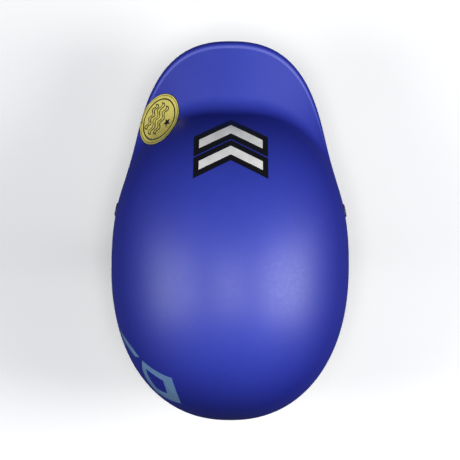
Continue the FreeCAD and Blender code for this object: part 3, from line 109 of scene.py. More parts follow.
def new_object(name, points, faces, materials, body=None, replaces=(), smooth=30):
    """Mesh object that rides on a body, smooth except where faces meet at more than an angle."""
    mesh = bpy.data.meshes.new(name)
    mesh.from_pydata([tuple(point) for point in points], [], faces)
    mesh.validate()
    mesh.update()
    edited(mesh, lambda tool: bmesh.ops.recalc_face_normals(tool, faces=tool.faces))
    mesh.shade_smooth()
    mesh.set_sharp_from_angle(angle=math.radians(smooth))
    painted(mesh, *materials)
    return settle(linked(name, mesh), body, replaces)


def settle(obj, body=None, replaces=()):
    """Say which body the object rides on, and which nodes it stands for."""
    if body:
        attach(obj, body)
    if replaces:
        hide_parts(*replaces)
    return obj


def ring_pairs(loop):
    """Each item of a closed loop with the next one."""
    return zip(loop, loop[1:] + loop[:1])


def grid_faces(columns, rows, offset=0, closed=True):
    """Quads of a grid stored column after column."""
    faces = []
    for column in range(columns if closed else columns - 1):
        here, right = offset + column * rows, offset + (column + 1) % columns * rows
        faces += [(here + row, here + row + 1, right + row + 1, right + row) for row in range(rows - 1)]
    return faces


def tube_faces(rings, sides, offset=0, closed=False):
    """Quads round a tube stored ring after ring, with end caps where it isn't closed on itself."""
    faces = []
    for ring in range(rings if closed else rings - 1):
        here, ahead = offset + ring * sides, offset + (ring + 1) % rings * sides
        faces += [(here + step, ahead + step, ahead + (step + 1) % sides, here + (step + 1) % sides)
                  for step in range(sides)]
    if not closed:
        last = offset + rings * sides
        faces += [tuple(range(offset, offset + sides)), tuple(range(last - 1, last - sides - 1, -1))]
    return faces


def swept(name, frames, section, marks, material, closed=False, smooth=50):
    """Section carried along frames of (middle, across, out); UV map in metres along it and at its marks."""
    points, uvs, distance = [], [], 0.0
    for number, (middle, across, out) in enumerate(frames):
        distance += (middle - frames[max(number - 1, 0)][0]).length
        points += [middle + across * x + out * z for x, z in section]
        uvs += [(distance, mark) for mark in marks]
    obj = new_object(name, points, tube_faces(len(frames), len(section), closed=closed), [material],
                     smooth=smooth)
    layer = obj.data.uv_layers.new(name="UVMap")
    for loop in obj.data.loops:
        layer.data[loop.index].uv = uvs[loop.vertex_index]
    return obj


def applied(obj):
    """Replace an object's mesh with what its modifiers make of it."""
    bpy.context.view_layer.update()
    made = bpy.data.meshes.new_from_object(
        obj.evaluated_get(bpy.context.evaluated_depsgraph_get()))
    obj.modifiers.clear()
    obj.data = made
    return obj


def modified(obj, kind, **settings):
    """Replace an object's mesh with what one modifier makes of it."""
    made = obj.modifiers.new(kind.lower(), kind)
    for name, value in settings.items():
        setattr(made, name, value)
    return applied(obj)


def node_copy(node, name):
    """New object with a copy of a node's mesh."""
    return linked(name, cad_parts[node].data.copy())


def rounded_copy(node, name, voxel, smoothing, material):
    """Copy of a soft node with its edges rounded."""
    obj = modified(node_copy(node, name), "REMESH", mode="VOXEL", voxel_size=voxel)
    modified(obj, "SMOOTH", factor=0.5, iterations=smoothing)
    painted(obj.data, material)
    obj.data.shade_smooth()
    return obj


def node_tree(node):
    """Search tree of a node's own mesh."""
    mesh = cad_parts[node].data
    return BVHTree.FromPolygons([vertex.co.copy() for vertex in mesh.vertices],
                                [tuple(face.vertices) for face in mesh.polygons])


# ---------------------------------------------------------------- the shell's form

HALF_WIDTH = 0.102
FRONT_LENGTH = 0.136
REAR_LENGTH = 0.1325
FRONT_POWER = 2.3
REAR_POWER = 2.22
CROWN_LEVEL = 0.118
WIDEST_LEVEL = -0.030
SIDE_POWER = 2.15
SETBACK = 0.015
BRIM_LENGTH = 0.0563
BRIM_SPREAD = 30.6
BRIM_POWER = 2.8
ROLL_WIDTH = 0.006
ROLL_DROP = 0.0018
SHELL_THICK = 0.0032
FILLET_START = [(0, 0.025), (30, 0.007), (45, -0.003), (62, -0.010), (90, -0.014), (180, -0.018)]
FILLET_REACH = [(0, 0.013), (60, 0.008), (180, 0.008)]
EDGE_LEVEL = [(0, -0.003), (28, -0.025), (46, -0.027), (70, -0.036), (95, -0.029), (132, -0.054),
              (180, -0.050)]
EDGE_TUCK = [(0, 0), (60, 0), (90, 0.002), (180, 0.004)]
# The fillet takes at most this share of the way from its corner to the edge.
FILLET_SHARE = 0.4
TANGENT_STEP = 1e-4
BRIM_CROWDING = 1.7
HEIGHT = CROWN_LEVEL - WIDEST_LEVEL
CAD_STEPS = (16, 5, 9)
FINE_STEPS = (44, 12, 16)
# The raised lip along the edge: half angle of its broad part, then widths and rises.
LIP_SPREAD = 46
LIP_WIDTHS = (0.0062, 0.0026)
LIP_RISES = (0.0013, 0.0005)
# Places across the lip, as shares of its width from the edge, and how far each one rises.
LIP_FORM = [(1.05, 0), (1.0, 0.02), (0.88, 0.28), (0.76, 0.60), (0.64, 0.86), (0.52, 1.0), (0.40, 1.0),
            (0.29, 0.9), (0.19, 0.72), (0.10, 0.48), (0.04, 0.22), (0.0, 0.0)]
SHELL_COLUMNS = 240
RIM_STEPS = 6
RIM_BULGE = 0.0009
# Distance up and down the wall over which its slope is taken.
SEAT_STEP = 0.001


def from_front(angle):
    """Angle from straight ahead, on either side."""
    return abs((angle + 180) % 360 - 180)


def smooth_table(angle, rows):
    """Value at an angle from rows of (angle from the front, value), eased between them."""
    turned = from_front(angle)
    for (start, first), (end, last) in zip(rows, rows[1:]):
        if turned <= end:
            part = (turned - start) / (end - start)
            return first + (last - first) * part * part * (3 - 2 * part)
    return rows[-1][1]


def plan_radius(angle):
    """Distance from the axis to the widest outline."""
    turn = math.radians(angle)
    length, power = (FRONT_LENGTH, FRONT_POWER) if math.cos(turn) > 0 else (REAR_LENGTH, REAR_POWER)
    across = (abs(math.sin(turn)) / HALF_WIDTH) ** power
    along = (abs(math.cos(turn)) / length) ** power
    return (across + along) ** (-1 / power)


def dome_point(angle, turn):
    """Radius and level on the dome, from the crown (turn 0) to the widest level."""
    power = 2 / SIDE_POWER
    level = WIDEST_LEVEL + HEIGHT * max(0.0, math.cos(turn)) ** power
    return plan_radius(angle) * math.sin(turn) ** power, level


def in_space(angle, radius, level):
    """Point in the frame; the dome leans back towards its crown."""
    turn = math.radians(angle)
    lean = SETBACK * max(0.0, (level - WIDEST_LEVEL) / HEIGHT) ** 2
    return Vector((radius * math.sin(turn), -radius * math.cos(turn) + lean, level))


def lip_size(angle):
    """Width and rise of the lip: broad in front, narrow at the sides and rear."""
    front = math.exp(-(from_front(angle) / LIP_SPREAD) ** 4)
    return [narrow + (broad - narrow) * front for broad, narrow in (LIP_WIDTHS, LIP_RISES)]


def outer_column(angle, steps=FINE_STEPS, trim=RIM_BULGE):
    """Points down the outside of the shell: dome, hollow fillet, then brim or skirt."""
    dome_steps, fillet_steps, brim_steps = steps
    start_level = smooth_table(angle, FILLET_START)
    last = math.acos(((start_level - WIDEST_LEVEL) / HEIGHT) ** (SIDE_POWER / 2))
    points = [dome_point(angle, last * step / dome_steps) for step in range(dome_steps + 1)]
    top = np.array(points[-1])
    slope = top - np.array(dome_point(angle, last - TANGENT_STEP))
    reach = smooth_table(angle, FILLET_REACH)
    corner = top + slope / np.linalg.norm(slope) * reach
    brim = BRIM_LENGTH * math.exp(-(from_front(angle) / BRIM_SPREAD) ** BRIM_POWER)
    edge = np.array((plan_radius(angle) + brim - smooth_table(angle, EDGE_TUCK),
                     smooth_table(angle, EDGE_LEVEL)))
    run = np.linalg.norm(edge - corner)
    along = (edge - corner) / run
    leave = min(reach, FILLET_SHARE * run)
    foot = corner + along * leave
    for step in range(1, fillet_steps + 1):
        part = step / fillet_steps
        points.append((1 - part) ** 2 * top + 2 * part * (1 - part) * corner + part ** 2 * foot)
    whole = run - leave - trim
    width, rise = lip_size(angle) if steps == FINE_STEPS else (0, 0)
    plain = whole - width * LIP_FORM[0][0]
    reaches = [(plain * (1 - (1 - step / brim_steps) ** BRIM_CROWDING), 0)
               for step in range(1, brim_steps + 1)]
    if width:
        reaches += [(whole - width * share, rise * raised) for share, raised in LIP_FORM[1:]]
    for reached, raised in reaches:
        rolled = max(0.0, 1 - (whole - reached) / ROLL_WIDTH)
        points.append(foot + along * reached + np.array((0, raised - ROLL_DROP * rolled ** 2)))
    return [in_space(angle, radius, level) for radius, level in points]


def outer_at(angle, level, steps=CAD_STEPS):
    """Point on the outside of the shell at an angle and a level."""
    column = outer_column(angle, steps, 0)
    for upper, lower in zip(column, column[1:]):
        if lower.z <= level:
            return upper + (lower - upper) * ((upper.z - level) / (upper.z - lower.z))
    return column[-1]


def wall_seat(angle, level):
    """Point on the wall and the directions up the wall, along it and out of it."""
    point = outer_at(angle, level)
    down = outer_at(angle, level - SEAT_STEP) - outer_at(angle, level + SEAT_STEP)
    around = outer_at(angle + 1, level) - outer_at(angle - 1, level)
    normal = around.cross(down).normalized()
    if normal.dot(Vector((point.x, point.y, 0))) < 0:
        normal = -normal
    up = -down.normalized()
    return point, up, normal.cross(up).normalized(), normal


def surface_normals(points):
    """Outward normals of a closed ring of columns; the first row is the crown."""
    down = np.empty_like(points)
    down[:, 1:-1] = points[:, 2:] - points[:, :-2]
    down[:, 0] = points[:, 1] - points[:, 0]
    down[:, -1] = points[:, -1] - points[:, -2]
    around = np.roll(points, -1, axis=0) - np.roll(points, 1, axis=0)
    normals = np.cross(around, down)
    normals[:, 0] = (0, 0, 1)
    normals /= np.linalg.norm(normals, axis=2, keepdims=True)
    outward = points - np.array((0, 0, WIDEST_LEVEL))
    normals[:, 1:] *= np.sign((normals * outward)[:, 1:].sum())
    return normals


OUTSIDE = np.array([[tuple(point) for point in outer_column(360 * number / SHELL_COLUMNS)]
                    for number in range(SHELL_COLUMNS)])
OUTSIDE_NORMALS = surface_normals(OUTSIDE)
SHELL_TREE = BVHTree.FromPolygons([Vector(point) for point in OUTSIDE.reshape(-1, 3)],
                                  grid_faces(*OUTSIDE.shape[:2]))


# ---------------------------------------------------------------- materials

class Paint:
    """A material and the texture nodes that feed its shader."""

    def __init__(self, name, colour, roughness, **sockets):
        self.material = bpy.data.materials.new(name)
        self.material.use_nodes = True
        self.shader = self.material.node_tree.nodes["Principled BSDF"]
        self.place = self.add("TexCoord").outputs["Object"]
        self.feed(Base_Color=(*colour, 1), Roughness=roughness, **sockets)

    def connect(self, value, socket):
        """Feed a socket from another node's output, or set its value."""
        if isinstance(value, bpy.types.NodeSocket):
            self.material.node_tree.links.new(value, socket)
        else:
            socket.default_value = value

    def feed(self, **sockets):
        """Feed the shader's sockets."""
        for name, value in sockets.items():
            self.connect(value, self.shader.inputs[name.replace("_", " ")])
        return self.material

    def add(self, kind, inputs=None, **settings):
        """New node with its settings and inputs."""
        made = self.material.node_tree.nodes.new("ShaderNode" + kind)
        for name, value in settings.items():
            setattr(made, name, value)
        for name, value in (inputs or {}).items():
            self.connect(value, made.inputs[name])
        return made

    def noise(self, scale, detail=3.0, place=None):
        return self.add("TexNoise", {"Vector": self.place if place is None else place, "Scale": scale,
                                     "Detail": detail}).outputs["Fac"]

    def cells(self, scale, feature="F1", output="Distance"):
        return self.add("TexVoronoi", {"Vector": self.place, "Scale": scale},
                        feature=feature).outputs[output]

    def ranged(self, value, low, high, first=0, last=1):
        """Value taken from one range to another, kept inside it."""
        return self.add("MapRange", {"Value": value, "From Min": low, "From Max": high,
                                     "To Min": first, "To Max": last}).outputs["Result"]

    def clouds(self, scale, detail, low=0.3, high=0.7, first=0, last=1):
        """Noise taken from one range to another."""
        return self.ranged(self.noise(scale, detail), low, high, first, last)

    def maths(self, operation, first, second=0.0):
        return self.add("Math", {0: first, 1: second}, operation=operation).outputs[0]

    def mixed(self, share, first, second):
        """Colour between two colours."""
        made = self.add("Mix", {"Factor": share}, data_type="RGBA")
        for number, colour in ((6, first), (7, second)):
            plain = not isinstance(colour, bpy.types.NodeSocket)
            self.connect((*colour, 1) if plain else colour, made.inputs[number])
        return made.outputs[2]

    def bumped(self, height, strength, depth, **under):
        return self.add("Bump", {"Height": height, "Strength": strength, "Distance": depth,
                                 **under}).outputs["Normal"]


def shell_paint(name, first, second, roughness, gloss):
    """Pigmented moulded plastic with painted shade, darker blue where the surface turns away from the view:
    faint clouds, orange peel, scuffs.
    """
    paint = Paint(name, first, roughness, Specular_IOR_Level=gloss)
    clouded = paint.mixed(paint.clouds(16, 4, 0.35, 0.65), first, second)
    flecked = paint.mixed(paint.clouds(2600, 2, 0.55, 0.75, 0, 0.25), clouded,
                          [share * 1.5 for share in second])
    # Painted shade: the colour darkens towards a deep blue where the surface turns edge-on to the view,
    # standing in for the shade on the steep walls and at the edges.
    facing = paint.add("LayerWeight", {"Blend": 0.5}).outputs["Facing"]
    painted_edge_shade = [share * part for share, part in zip(first, (0.12, 0.22, 0.62))]
    peel = paint.bumped(paint.noise(650, 2), 0.1, 0.0004)
    return paint.feed(Base_Color=paint.mixed(paint.ranged(facing, 0.1, 0.7), flecked, painted_edge_shade),
                      Roughness=paint.clouds(420, 5, 0.3, 0.7, roughness - 0.03, roughness + 0.04),
                      Normal=paint.bumped(paint.noise(5000, 1), 0.05, 0.0002, Normal=peel))


def ink(name, colour, roughness, metallic=0.0):
    """Printed film: slightly uneven ink with a soft gloss."""
    paint = Paint(name, colour, roughness, Metallic=metallic, Coat_Weight=0.2)
    darker = [share * 0.82 for share in colour]
    return paint.feed(Base_Color=paint.mixed(paint.clouds(140, 5), colour, darker),
                      Roughness=paint.clouds(900, 3, 0.3, 0.7, roughness - 0.06, roughness + 0.1),
                      Normal=paint.bumped(paint.noise(1800, 2), 0.12, 0.0002))


def bead_foam(name):
    """Expanded foam: fused beads of about 4 mm with fine pores, and painted shade in the seams between
    them.
    """
    paint = Paint(name, (0.030, 0.031, 0.034), 0.82, Sheen_Weight=0.1)
    tint = paint.add("SeparateColor", {"Color": paint.cells(260, output="Color")}).outputs[0]
    grey = paint.mixed(tint, (0.024, 0.025, 0.028), (0.046, 0.047, 0.051))
    seams = paint.cells(260, "DISTANCE_TO_EDGE")
    beads = paint.bumped(paint.ranged(seams, 0, 0.3), 0.6, 0.0006)
    # Painted shade: the colour goes near black along the seams between beads.
    return paint.feed(
        Base_Color=paint.mixed(paint.ranged(seams, 0, 0.12, 1, 0), grey, (0.010, 0.010, 0.011)),
        Normal=paint.bumped(paint.noise(2200), 0.25, 0.0003, Normal=beads))


def pad_knit(name):
    """Brushed spacer knit with rows of small holes, their middles painted near black as painted shade."""
    paint = Paint(name, (0.05, 0.052, 0.058), 0.9, Sheen_Weight=0.45, Sheen_Roughness=0.5)
    holes = paint.cells(520)
    cloth = paint.mixed(paint.clouds(90, 4), (0.042, 0.044, 0.050), (0.068, 0.070, 0.078))
    pits = paint.bumped(paint.ranged(holes, 0.1, 0.5), 0.7, 0.0005)
    # Painted shade: the colour goes near black towards the middle of each hole.
    return paint.feed(
        Base_Color=paint.mixed(paint.ranged(holes, 0.12, 0.42, 1, 0), cloth, (0.008, 0.008, 0.010)),
        Normal=paint.bumped(paint.noise(3200, 4), 0.5, 0.0003, Normal=pits))


def woven(name, dark, light, rib=0.0013, warp=0.0009):
    """Woven tape with painted shade in the weave's gaps and painted highlight on its ribs; its UV map is in
    metres along and across the tape.
    """
    paint = Paint(name, dark, 0.72, Sheen_Weight=0.35, Sheen_Roughness=0.4)
    split = paint.add("SeparateXYZ", {"Vector": paint.add("TexCoord").outputs["UV"]})
    over, under = (paint.maths("SINE", paint.maths("MULTIPLY", split.outputs[axis], 2 * math.pi / pitch))
                   for axis, pitch in ((0, rib), (1, warp)))
    ribs = paint.maths("ADD", paint.maths("MULTIPLY", over, 0.5), paint.maths("MULTIPLY", over, under))
    fuzz = paint.noise(1500, 4)
    # Painted shade and highlight: the colour goes dark in the gaps of the weave and light on its ribs, with
    # random fuzz in tone on top.
    painted_rib_light = paint.maths("MULTIPLY", paint.ranged(ribs, -1.2, 1.2), paint.ranged(fuzz, 0.2, 0.8, 0.6, 1.1))
    weave = paint.bumped(ribs, 0.55, 0.0003)
    return paint.feed(Base_Color=paint.mixed(painted_rib_light, dark, light),
                      Normal=paint.bumped(fuzz, 0.4, 0.0002, Normal=weave))


def moulded(name, colour, roughness, grain=1400, depth=0.00012):
    """Injection-moulded plastic with spark-eroded grain and worn sheen."""
    paint = Paint(name, colour, roughness)
    pits = paint.noise(grain)
    lighter = [share * 1.5 + 0.004 for share in colour]
    return paint.feed(Base_Color=paint.mixed(paint.clouds(70, 5, 0.5, 0.8, 0, 0.8), colour, lighter),
                      Roughness=paint.ranged(pits, 0.3, 0.7, roughness - 0.08, roughness + 0.1),
                      Normal=paint.bumped(pits, 0.5, depth))


def turned_metal(name, colour, roughness):
    """Metal with fine machining lines and faint stains."""
    paint = Paint(name, colour, roughness, Metallic=1.0)
    stretched = paint.add("Mapping", {"Vector": paint.place, "Scale": (400, 3500, 3500)})
    lines = paint.noise(1, 3, stretched.outputs["Vector"])
    stained = [share * 0.75 for share in colour]
    return paint.feed(Base_Color=paint.mixed(paint.clouds(300, 4, 0.4, 0.7), colour, stained),
                      Roughness=paint.ranged(lines, 0.3, 0.7, roughness - 0.08, roughness + 0.12),
                      Normal=paint.bumped(lines, 0.3, 0.0001))


def hook_tape(name):
    """Rows of tiny plastic hooks, their tips lighter as painted highlight."""
    paint = Paint(name, (0.02, 0.02, 0.022), 0.6)
    tips = paint.ranged(paint.cells(900), 0.0, 0.4, 1, 0)
    # Painted highlight: the colour is lighter at the tip of each hook and near black between them.
    return paint.feed(Base_Color=paint.mixed(tips, (0.010, 0.010, 0.011), (0.06, 0.06, 0.065)),
                      Normal=paint.bumped(tips, 0.9, 0.0005))


PAINTS = {name: make(name, *settings) for make, name, *settings in (
    (shell_paint, "shell_blue", (0.026, 0.043, 0.410), (0.030, 0.049, 0.436), 0.50, 0.75),
    (shell_paint, "shell_inside", (0.022, 0.030, 0.300), (0.028, 0.038, 0.330), 0.55, 0.5),
    (ink, "ink_white", (0.93, 0.92, 0.90), 0.35),
    (ink, "ink_black", (0.006, 0.006, 0.008), 0.3),
    (ink, "ink_gold", (0.95, 0.83, 0.20), 0.26, 0.2),
    (ink, "ink_pale_blue", (0.16, 0.30, 0.52), 0.35),
    (ink, "ink_grey", (0.20, 0.17, 0.15), 0.4),
    (ink, "badge_black", (0.008, 0.008, 0.009), 0.4),
    (bead_foam, "bead_foam"),
    (pad_knit, "pad_knit"),
    (hook_tape, "hook_tape"),
    # For webbing and binding, the darker colour shows in the weave's gaps as painted shade and the lighter
    # one on its ribs as painted highlight.
    (woven, "webbing", (0.008, 0.008, 0.010), (0.050, 0.051, 0.056)),
    (woven, "binding", (0.010, 0.010, 0.012), (0.042, 0.042, 0.047), 0.0009, 0.0007),
    (moulded, "thread", (0.16, 0.16, 0.17), 0.6, 2500),
    (moulded, "black_plastic", (0.014, 0.014, 0.015), 0.42),
    (moulded, "dial_plastic", (0.020, 0.020, 0.022), 0.5, 900, 0.0002),
    (moulded, "gear_plastic", (0.42, 0.43, 0.45), 0.4),
    (moulded, "keeper_rubber", (0.018, 0.018, 0.018), 0.7, 2200),
    (turned_metal, "steel", (0.42, 0.43, 0.45), 0.36),
    (turned_metal, "magnet", (0.62, 0.62, 0.64), 0.22))}


# ---------------------------------------------------------------- shell

RIVET_SEATS = {(side, end): wall_seat(side * angle, level)
               for side in (1, -1)
               for end, angle, level in (("front", 64, -0.016), ("rear", 114, -0.031))}
CAP_RADIUS = 0.006
SEAT_RADIUS = CAP_RADIUS + 0.0002
# A seat's bore, from its floor to clear of the wall, along the wall's normal.
SEAT_FLOOR = -0.0013
SEAT_TOP = 0.004


def sink_seat(shell, centre, normal):
    """Cut the round seat of a rivet cap into the shell."""
    turn = normal.to_track_quat("Z", "Y").to_matrix().to_4x4()
    place = Matrix.Translation(centre + normal * (SEAT_FLOOR + SEAT_TOP) / 2) @ turn
    bore = linked("bore", bpy.data.meshes.new("bore"))
    edited(bore.data, lambda tool: bmesh.ops.create_cone(
        tool, cap_ends=True, segments=64, radius1=SEAT_RADIUS, radius2=SEAT_RADIUS,
        depth=SEAT_TOP - SEAT_FLOOR, matrix=place))
    modified(shell, "BOOLEAN", object=bore, operation="DIFFERENCE", solver="EXACT")
    bpy.data.objects.remove(bore)


def build_shell():
    """Outside, rounded rim and inside as one closed skin."""
    columns, rows = OUTSIDE.shape[:2]
    inside = OUTSIDE - OUTSIDE_NORMALS * SHELL_THICK
    middle = (OUTSIDE[:, -1] + inside[:, -1]) / 2
    across = (OUTSIDE[:, -1] - inside[:, -1]) / 2
    beyond = OUTSIDE[:, -1] - OUTSIDE[:, -3]
    beyond /= np.linalg.norm(beyond, axis=1, keepdims=True)
    turns = [math.pi * step / RIM_STEPS for step in range(1, RIM_STEPS)]
    rim = [middle + across * math.cos(turn) + beyond * RIM_BULGE * math.sin(turn) for turn in turns]
    skin = np.concatenate([OUTSIDE, np.stack(rim, axis=1), inside[:, ::-1]], axis=1)
    total = skin.shape[1]
    shell = new_object("shell", skin.reshape(-1, 3), grid_faces(columns, total),
                       [PAINTS["shell_blue"], PAINTS["shell_inside"]], smooth=50)
    first_inside = rows + RIM_STEPS - 1
    for number, face in enumerate(shell.data.polygons):
        face.material_index = int(number % (total - 1) >= first_inside)
    edited(shell.data, merged)
    for centre, _, _, normal in RIVET_SEATS.values():
        sink_seat(shell, centre, normal)
    settle(shell, "helmet", ["outer_shell"])


# ---------------------------------------------------------------- printed film on the shell

# Clear of the shell above and to the left, and the level of the rim where the badge reaches it.
ABOVE_SHELL = 0.3
BESIDE_SHELL = 0.2
BADGE_RIM_LEVEL = -0.027
WALL_MIDDLE = 0.02
# Heights of the printed layers above the shell, from the lowest up.
FIRST_LAYER = 0.00015
LABEL_LAYER = 0.00020
SECOND_LAYER = 0.00028
CHEVRON_LAYER = 0.00030
THIRD_LAYER = 0.00036
FOURTH_LAYER = 0.00044
FILM_STEP = 0.002
# Depth of a film's underside, just inside the shell.
FILM_ROOT = -0.0004
SHARPEST_MITRE = 0.45


def facing(found, outward):
    """A found point of the shell, with its normal turned outwards."""
    hit, normal = found[:2]
    return hit, normal if normal.dot(outward) > 0 else -normal


def onto_plan(x, y):
    """Point of the shell straight below a place in plan, or the rim beside it, with its normal."""
    found = SHELL_TREE.ray_cast(Vector((x, y, ABOVE_SHELL)), -Z_AXIS)
    if found[0] is None:
        found = SHELL_TREE.find_nearest(Vector((x, y, BADGE_RIM_LEVEL)))
    return facing(found, Z_AXIS)


def onto_flank(y, z):
    """Point of the left wall at a place seen from the left."""
    return facing(SHELL_TREE.ray_cast(Vector((BESIDE_SHELL, y, z)), -X_AXIS), X_AXIS)


def onto_wall(angle, level):
    """Point of the wall at a level and an angle, in thousands of degrees so that both are alike in size."""
    point = outer_at(angle * 1000, level, FINE_STEPS)
    return facing(SHELL_TREE.find_nearest(point), Vector((point.x, point.y, WALL_MIDDLE)))


def in_loop(x, y, loop):
    hit = False
    for (x1, y1), (x2, y2) in ring_pairs(loop):
        if (y1 > y) != (y2 > y) and x < (x2 - x1) * (y - y1) / (y2 - y1) + x1:
            hit = not hit
    return hit


def in_loops(x, y, loops):
    return sum(in_loop(x, y, loop) for loop in loops) % 2 == 1


def divided(loop, step):
    """The loop with its long edges divided evenly."""
    made = []
    for (x1, y1), (x2, y2) in ring_pairs(loop):
        parts = max(1, round(math.hypot(x2 - x1, y2 - y1) / step))
        made += [(x1 + (x2 - x1) * part / parts, y1 + (y2 - y1) * part / parts) for part in range(parts)]
    return made


def film(loops, onto, lift, step=FILM_STEP):
    """Points and faces of a thin closed piece whose flat shape follows the shell."""
    loops = [divided(loop, step) for loop in loops]
    flat, edges = [], []
    for loop in loops:
        start = len(flat)
        flat += loop
        edges += [(start + number, start + (number + 1) % len(loop)) for number in range(len(loop))]
    low_x, low_y = (min(point[axis] for point in flat) for axis in (0, 1))
    high_x, high_y = (max(point[axis] for point in flat) for axis in (0, 1))
    for column in range(int((high_x - low_x) / step) + 1):
        for row in range(int((high_y - low_y) / step) + 1):
            x = low_x + (column + 0.5 * (row % 2)) * step
            y = low_y + row * step
            far = min((x - a) ** 2 + (y - b) ** 2 for a, b in flat[:edges[-1][0] + 1]) > (0.6 * step) ** 2
            if far and in_loops(x, y, loops):
                flat.append((x, y))
    places, _, triangles, *_ = delaunay_2d_cdt([Vector(point) for point in flat], edges, [], 0, 1e-7)
    kept = []
    for triangle in triangles:
        x, y = (sum(places[corner][axis] for corner in triangle) / 3 for axis in (0, 1))
        if in_loops(x, y, loops):
            kept.append(tuple(triangle))
    seats = [onto(*place) for place in places]
    points = [hit + normal * height for height in (lift, FILM_ROOT) for hit, normal in seats]
    count = len(places)
    faces = list(kept) + [tuple(count + corner for corner in reversed(face)) for face in kept]
    used = {(a, b) for face in kept for a, b in ring_pairs(face)}
    faces += [(b, a, count + a, count + b) for a, b in used if (b, a) not in used]
    return points, faces


def film_object(name, layers, replaces=()):
    """One piece from layers of (loops, onto, lift, material)."""
    points, faces, paints, indices = [], [], [], []
    for loops, onto, lift, material in layers:
        more_points, more_faces = film(loops, onto, lift)
        if material not in paints:
            paints.append(material)
        indices += [paints.index(material)] * len(more_faces)
        faces += [tuple(len(points) + corner for corner in face) for face in more_faces]
        points += more_points
    obj = new_object(name, points, faces, paints)
    for face, index in zip(obj.data.polygons, indices):
        face.material_index = index
    return settle(obj, "helmet", replaces)


def widened(loop, distance):
    """The loop moved outwards by a distance, with mitred corners."""
    sign = 1 if sum(x1 * y2 - x2 * y1 for (x1, y1), (x2, y2) in ring_pairs(loop)) > 0 else -1
    outs = [Vector((y2 - y1, x1 - x2)).normalized() * sign for (x1, y1), (x2, y2) in ring_pairs(loop)]
    made = []
    for (x, y), before, after in zip(loop, outs[-1:] + outs[:-1], outs):
        middle = (before + after).normalized()
        reach = distance / max(SHARPEST_MITRE, middle.dot(before))
        made.append((x + middle.x * reach, y + middle.y * reach))
    return made


CHEVRON_TIPS = (-0.119, -0.101)
CHEVRON_REACH = 0.028
CHEVRON_BACK = 0.014
CHEVRON_BAND = 0.012
OUTLINE = 0.0022


def chevron(tip):
    reach, back, band = CHEVRON_REACH, CHEVRON_BACK, CHEVRON_BAND
    return [(0, tip), (-reach, tip + back), (-reach, tip + back + band), (0, tip + band),
            (reach, tip + back + band), (reach, tip + back)]


def build_chevrons():
    """Two white chevrons, each inside a broad black outline."""
    layers = [([widened(chevron(tip), reach)], onto_plan, lift, PAINTS[paint])
              for reach, lift, paint in ((OUTLINE, FIRST_LAYER, "ink_black"),
                                        (-OUTLINE, CHEVRON_LAYER, "ink_white"))
              for tip in CHEVRON_TIPS]
    film_object("chevron_print", layers, ["chevron_stickers"])


BADGE_PLACE = Vector((0.0612, -0.124, 0))
BADGE_HEADING = 67
BADGE_LENGTH = 0.0239
BADGE_WIDTH = 0.0157


def ring(radius, count=72):
    return [(radius * math.cos(2 * math.pi * step / count), radius * math.sin(2 * math.pi * step / count))
            for step in range(count)]


def onto_badge(x, y):
    """The round badge's own flat shape, oval in plan, laid on the brim; its top is towards the crown."""
    heading = math.radians(BADGE_HEADING)
    right = Vector((math.cos(heading), math.sin(heading), 0))
    top = Vector((-math.sin(heading), math.cos(heading), 0))
    place = BADGE_PLACE + right * x + top * y * (BADGE_WIDTH / BADGE_LENGTH)
    return onto_plan(place.x, place.y)


def wave_bar(level, half_length, thick, crest):
    """Wavy bar of even thickness."""
    steps = 24
    above, below = [], []
    for step in range(steps + 1):
        x = half_length * (2 * step / steps - 1)
        y = level + crest * math.sin(3 * math.pi * step / steps * 2)
        above.append((x, y + thick / 2))
        below.append((x, y - thick / 2))
    return above + below[::-1]


def star(x, y, radius):
    """Five-pointed star."""
    reaches = [radius, radius * 0.42] * 5
    return [(x + reach * math.sin(math.pi * point / 5), y + reach * math.cos(math.pi * point / 5))
            for point, reach in enumerate(reaches)]


def build_badge():
    """Oval gilt badge: two dark rings, then a water and star motif."""
    gold, black = PAINTS["ink_gold"], PAINTS["badge_black"]
    layers = [([ring(BADGE_LENGTH)], onto_badge, FIRST_LAYER, black),
              ([ring(BADGE_LENGTH - 0.0006)], onto_badge, SECOND_LAYER, gold),
              ([ring(0.0222), ring(0.0218)], onto_badge, THIRD_LAYER, black),
              ([ring(0.0194), ring(0.0182)], onto_badge, THIRD_LAYER, black)]
    for level, half in ((0.0030, 0.0135), (-0.0038, 0.0150), (-0.0106, 0.0120)):
        bar = wave_bar(level, half, 0.0040, 0.0015)
        layers.append(([bar], onto_badge, THIRD_LAYER, black))
        layers.append(([widened(bar, -0.0010)], onto_badge, FOURTH_LAYER, gold))
    layers.append(([star(0, 0.0115, 0.0046)], onto_badge, THIRD_LAYER, black))
    film_object("round_badge_print", layers, ["round_badge"])


LABEL_CORNERS = [(0.002, -0.014), (0.034, -0.016), (0.034, -0.025), (0.002, -0.026)]


def build_side_label():
    layers = [([LABEL_CORNERS], onto_flank, LABEL_LAYER, PAINTS["ink_grey"])]
    for start, end, level in ((0.005, 0.030, -0.0177), (0.005, 0.024, -0.0203), (0.005, 0.028, -0.0229)):
        bar = [(start, level), (end, level), (end, level - 0.0009), (start, level - 0.0009)]
        layers.append(([bar], onto_flank, SECOND_LAYER, PAINTS["ink_white"]))
    film_object("side_label_print", layers, ["side_label"])


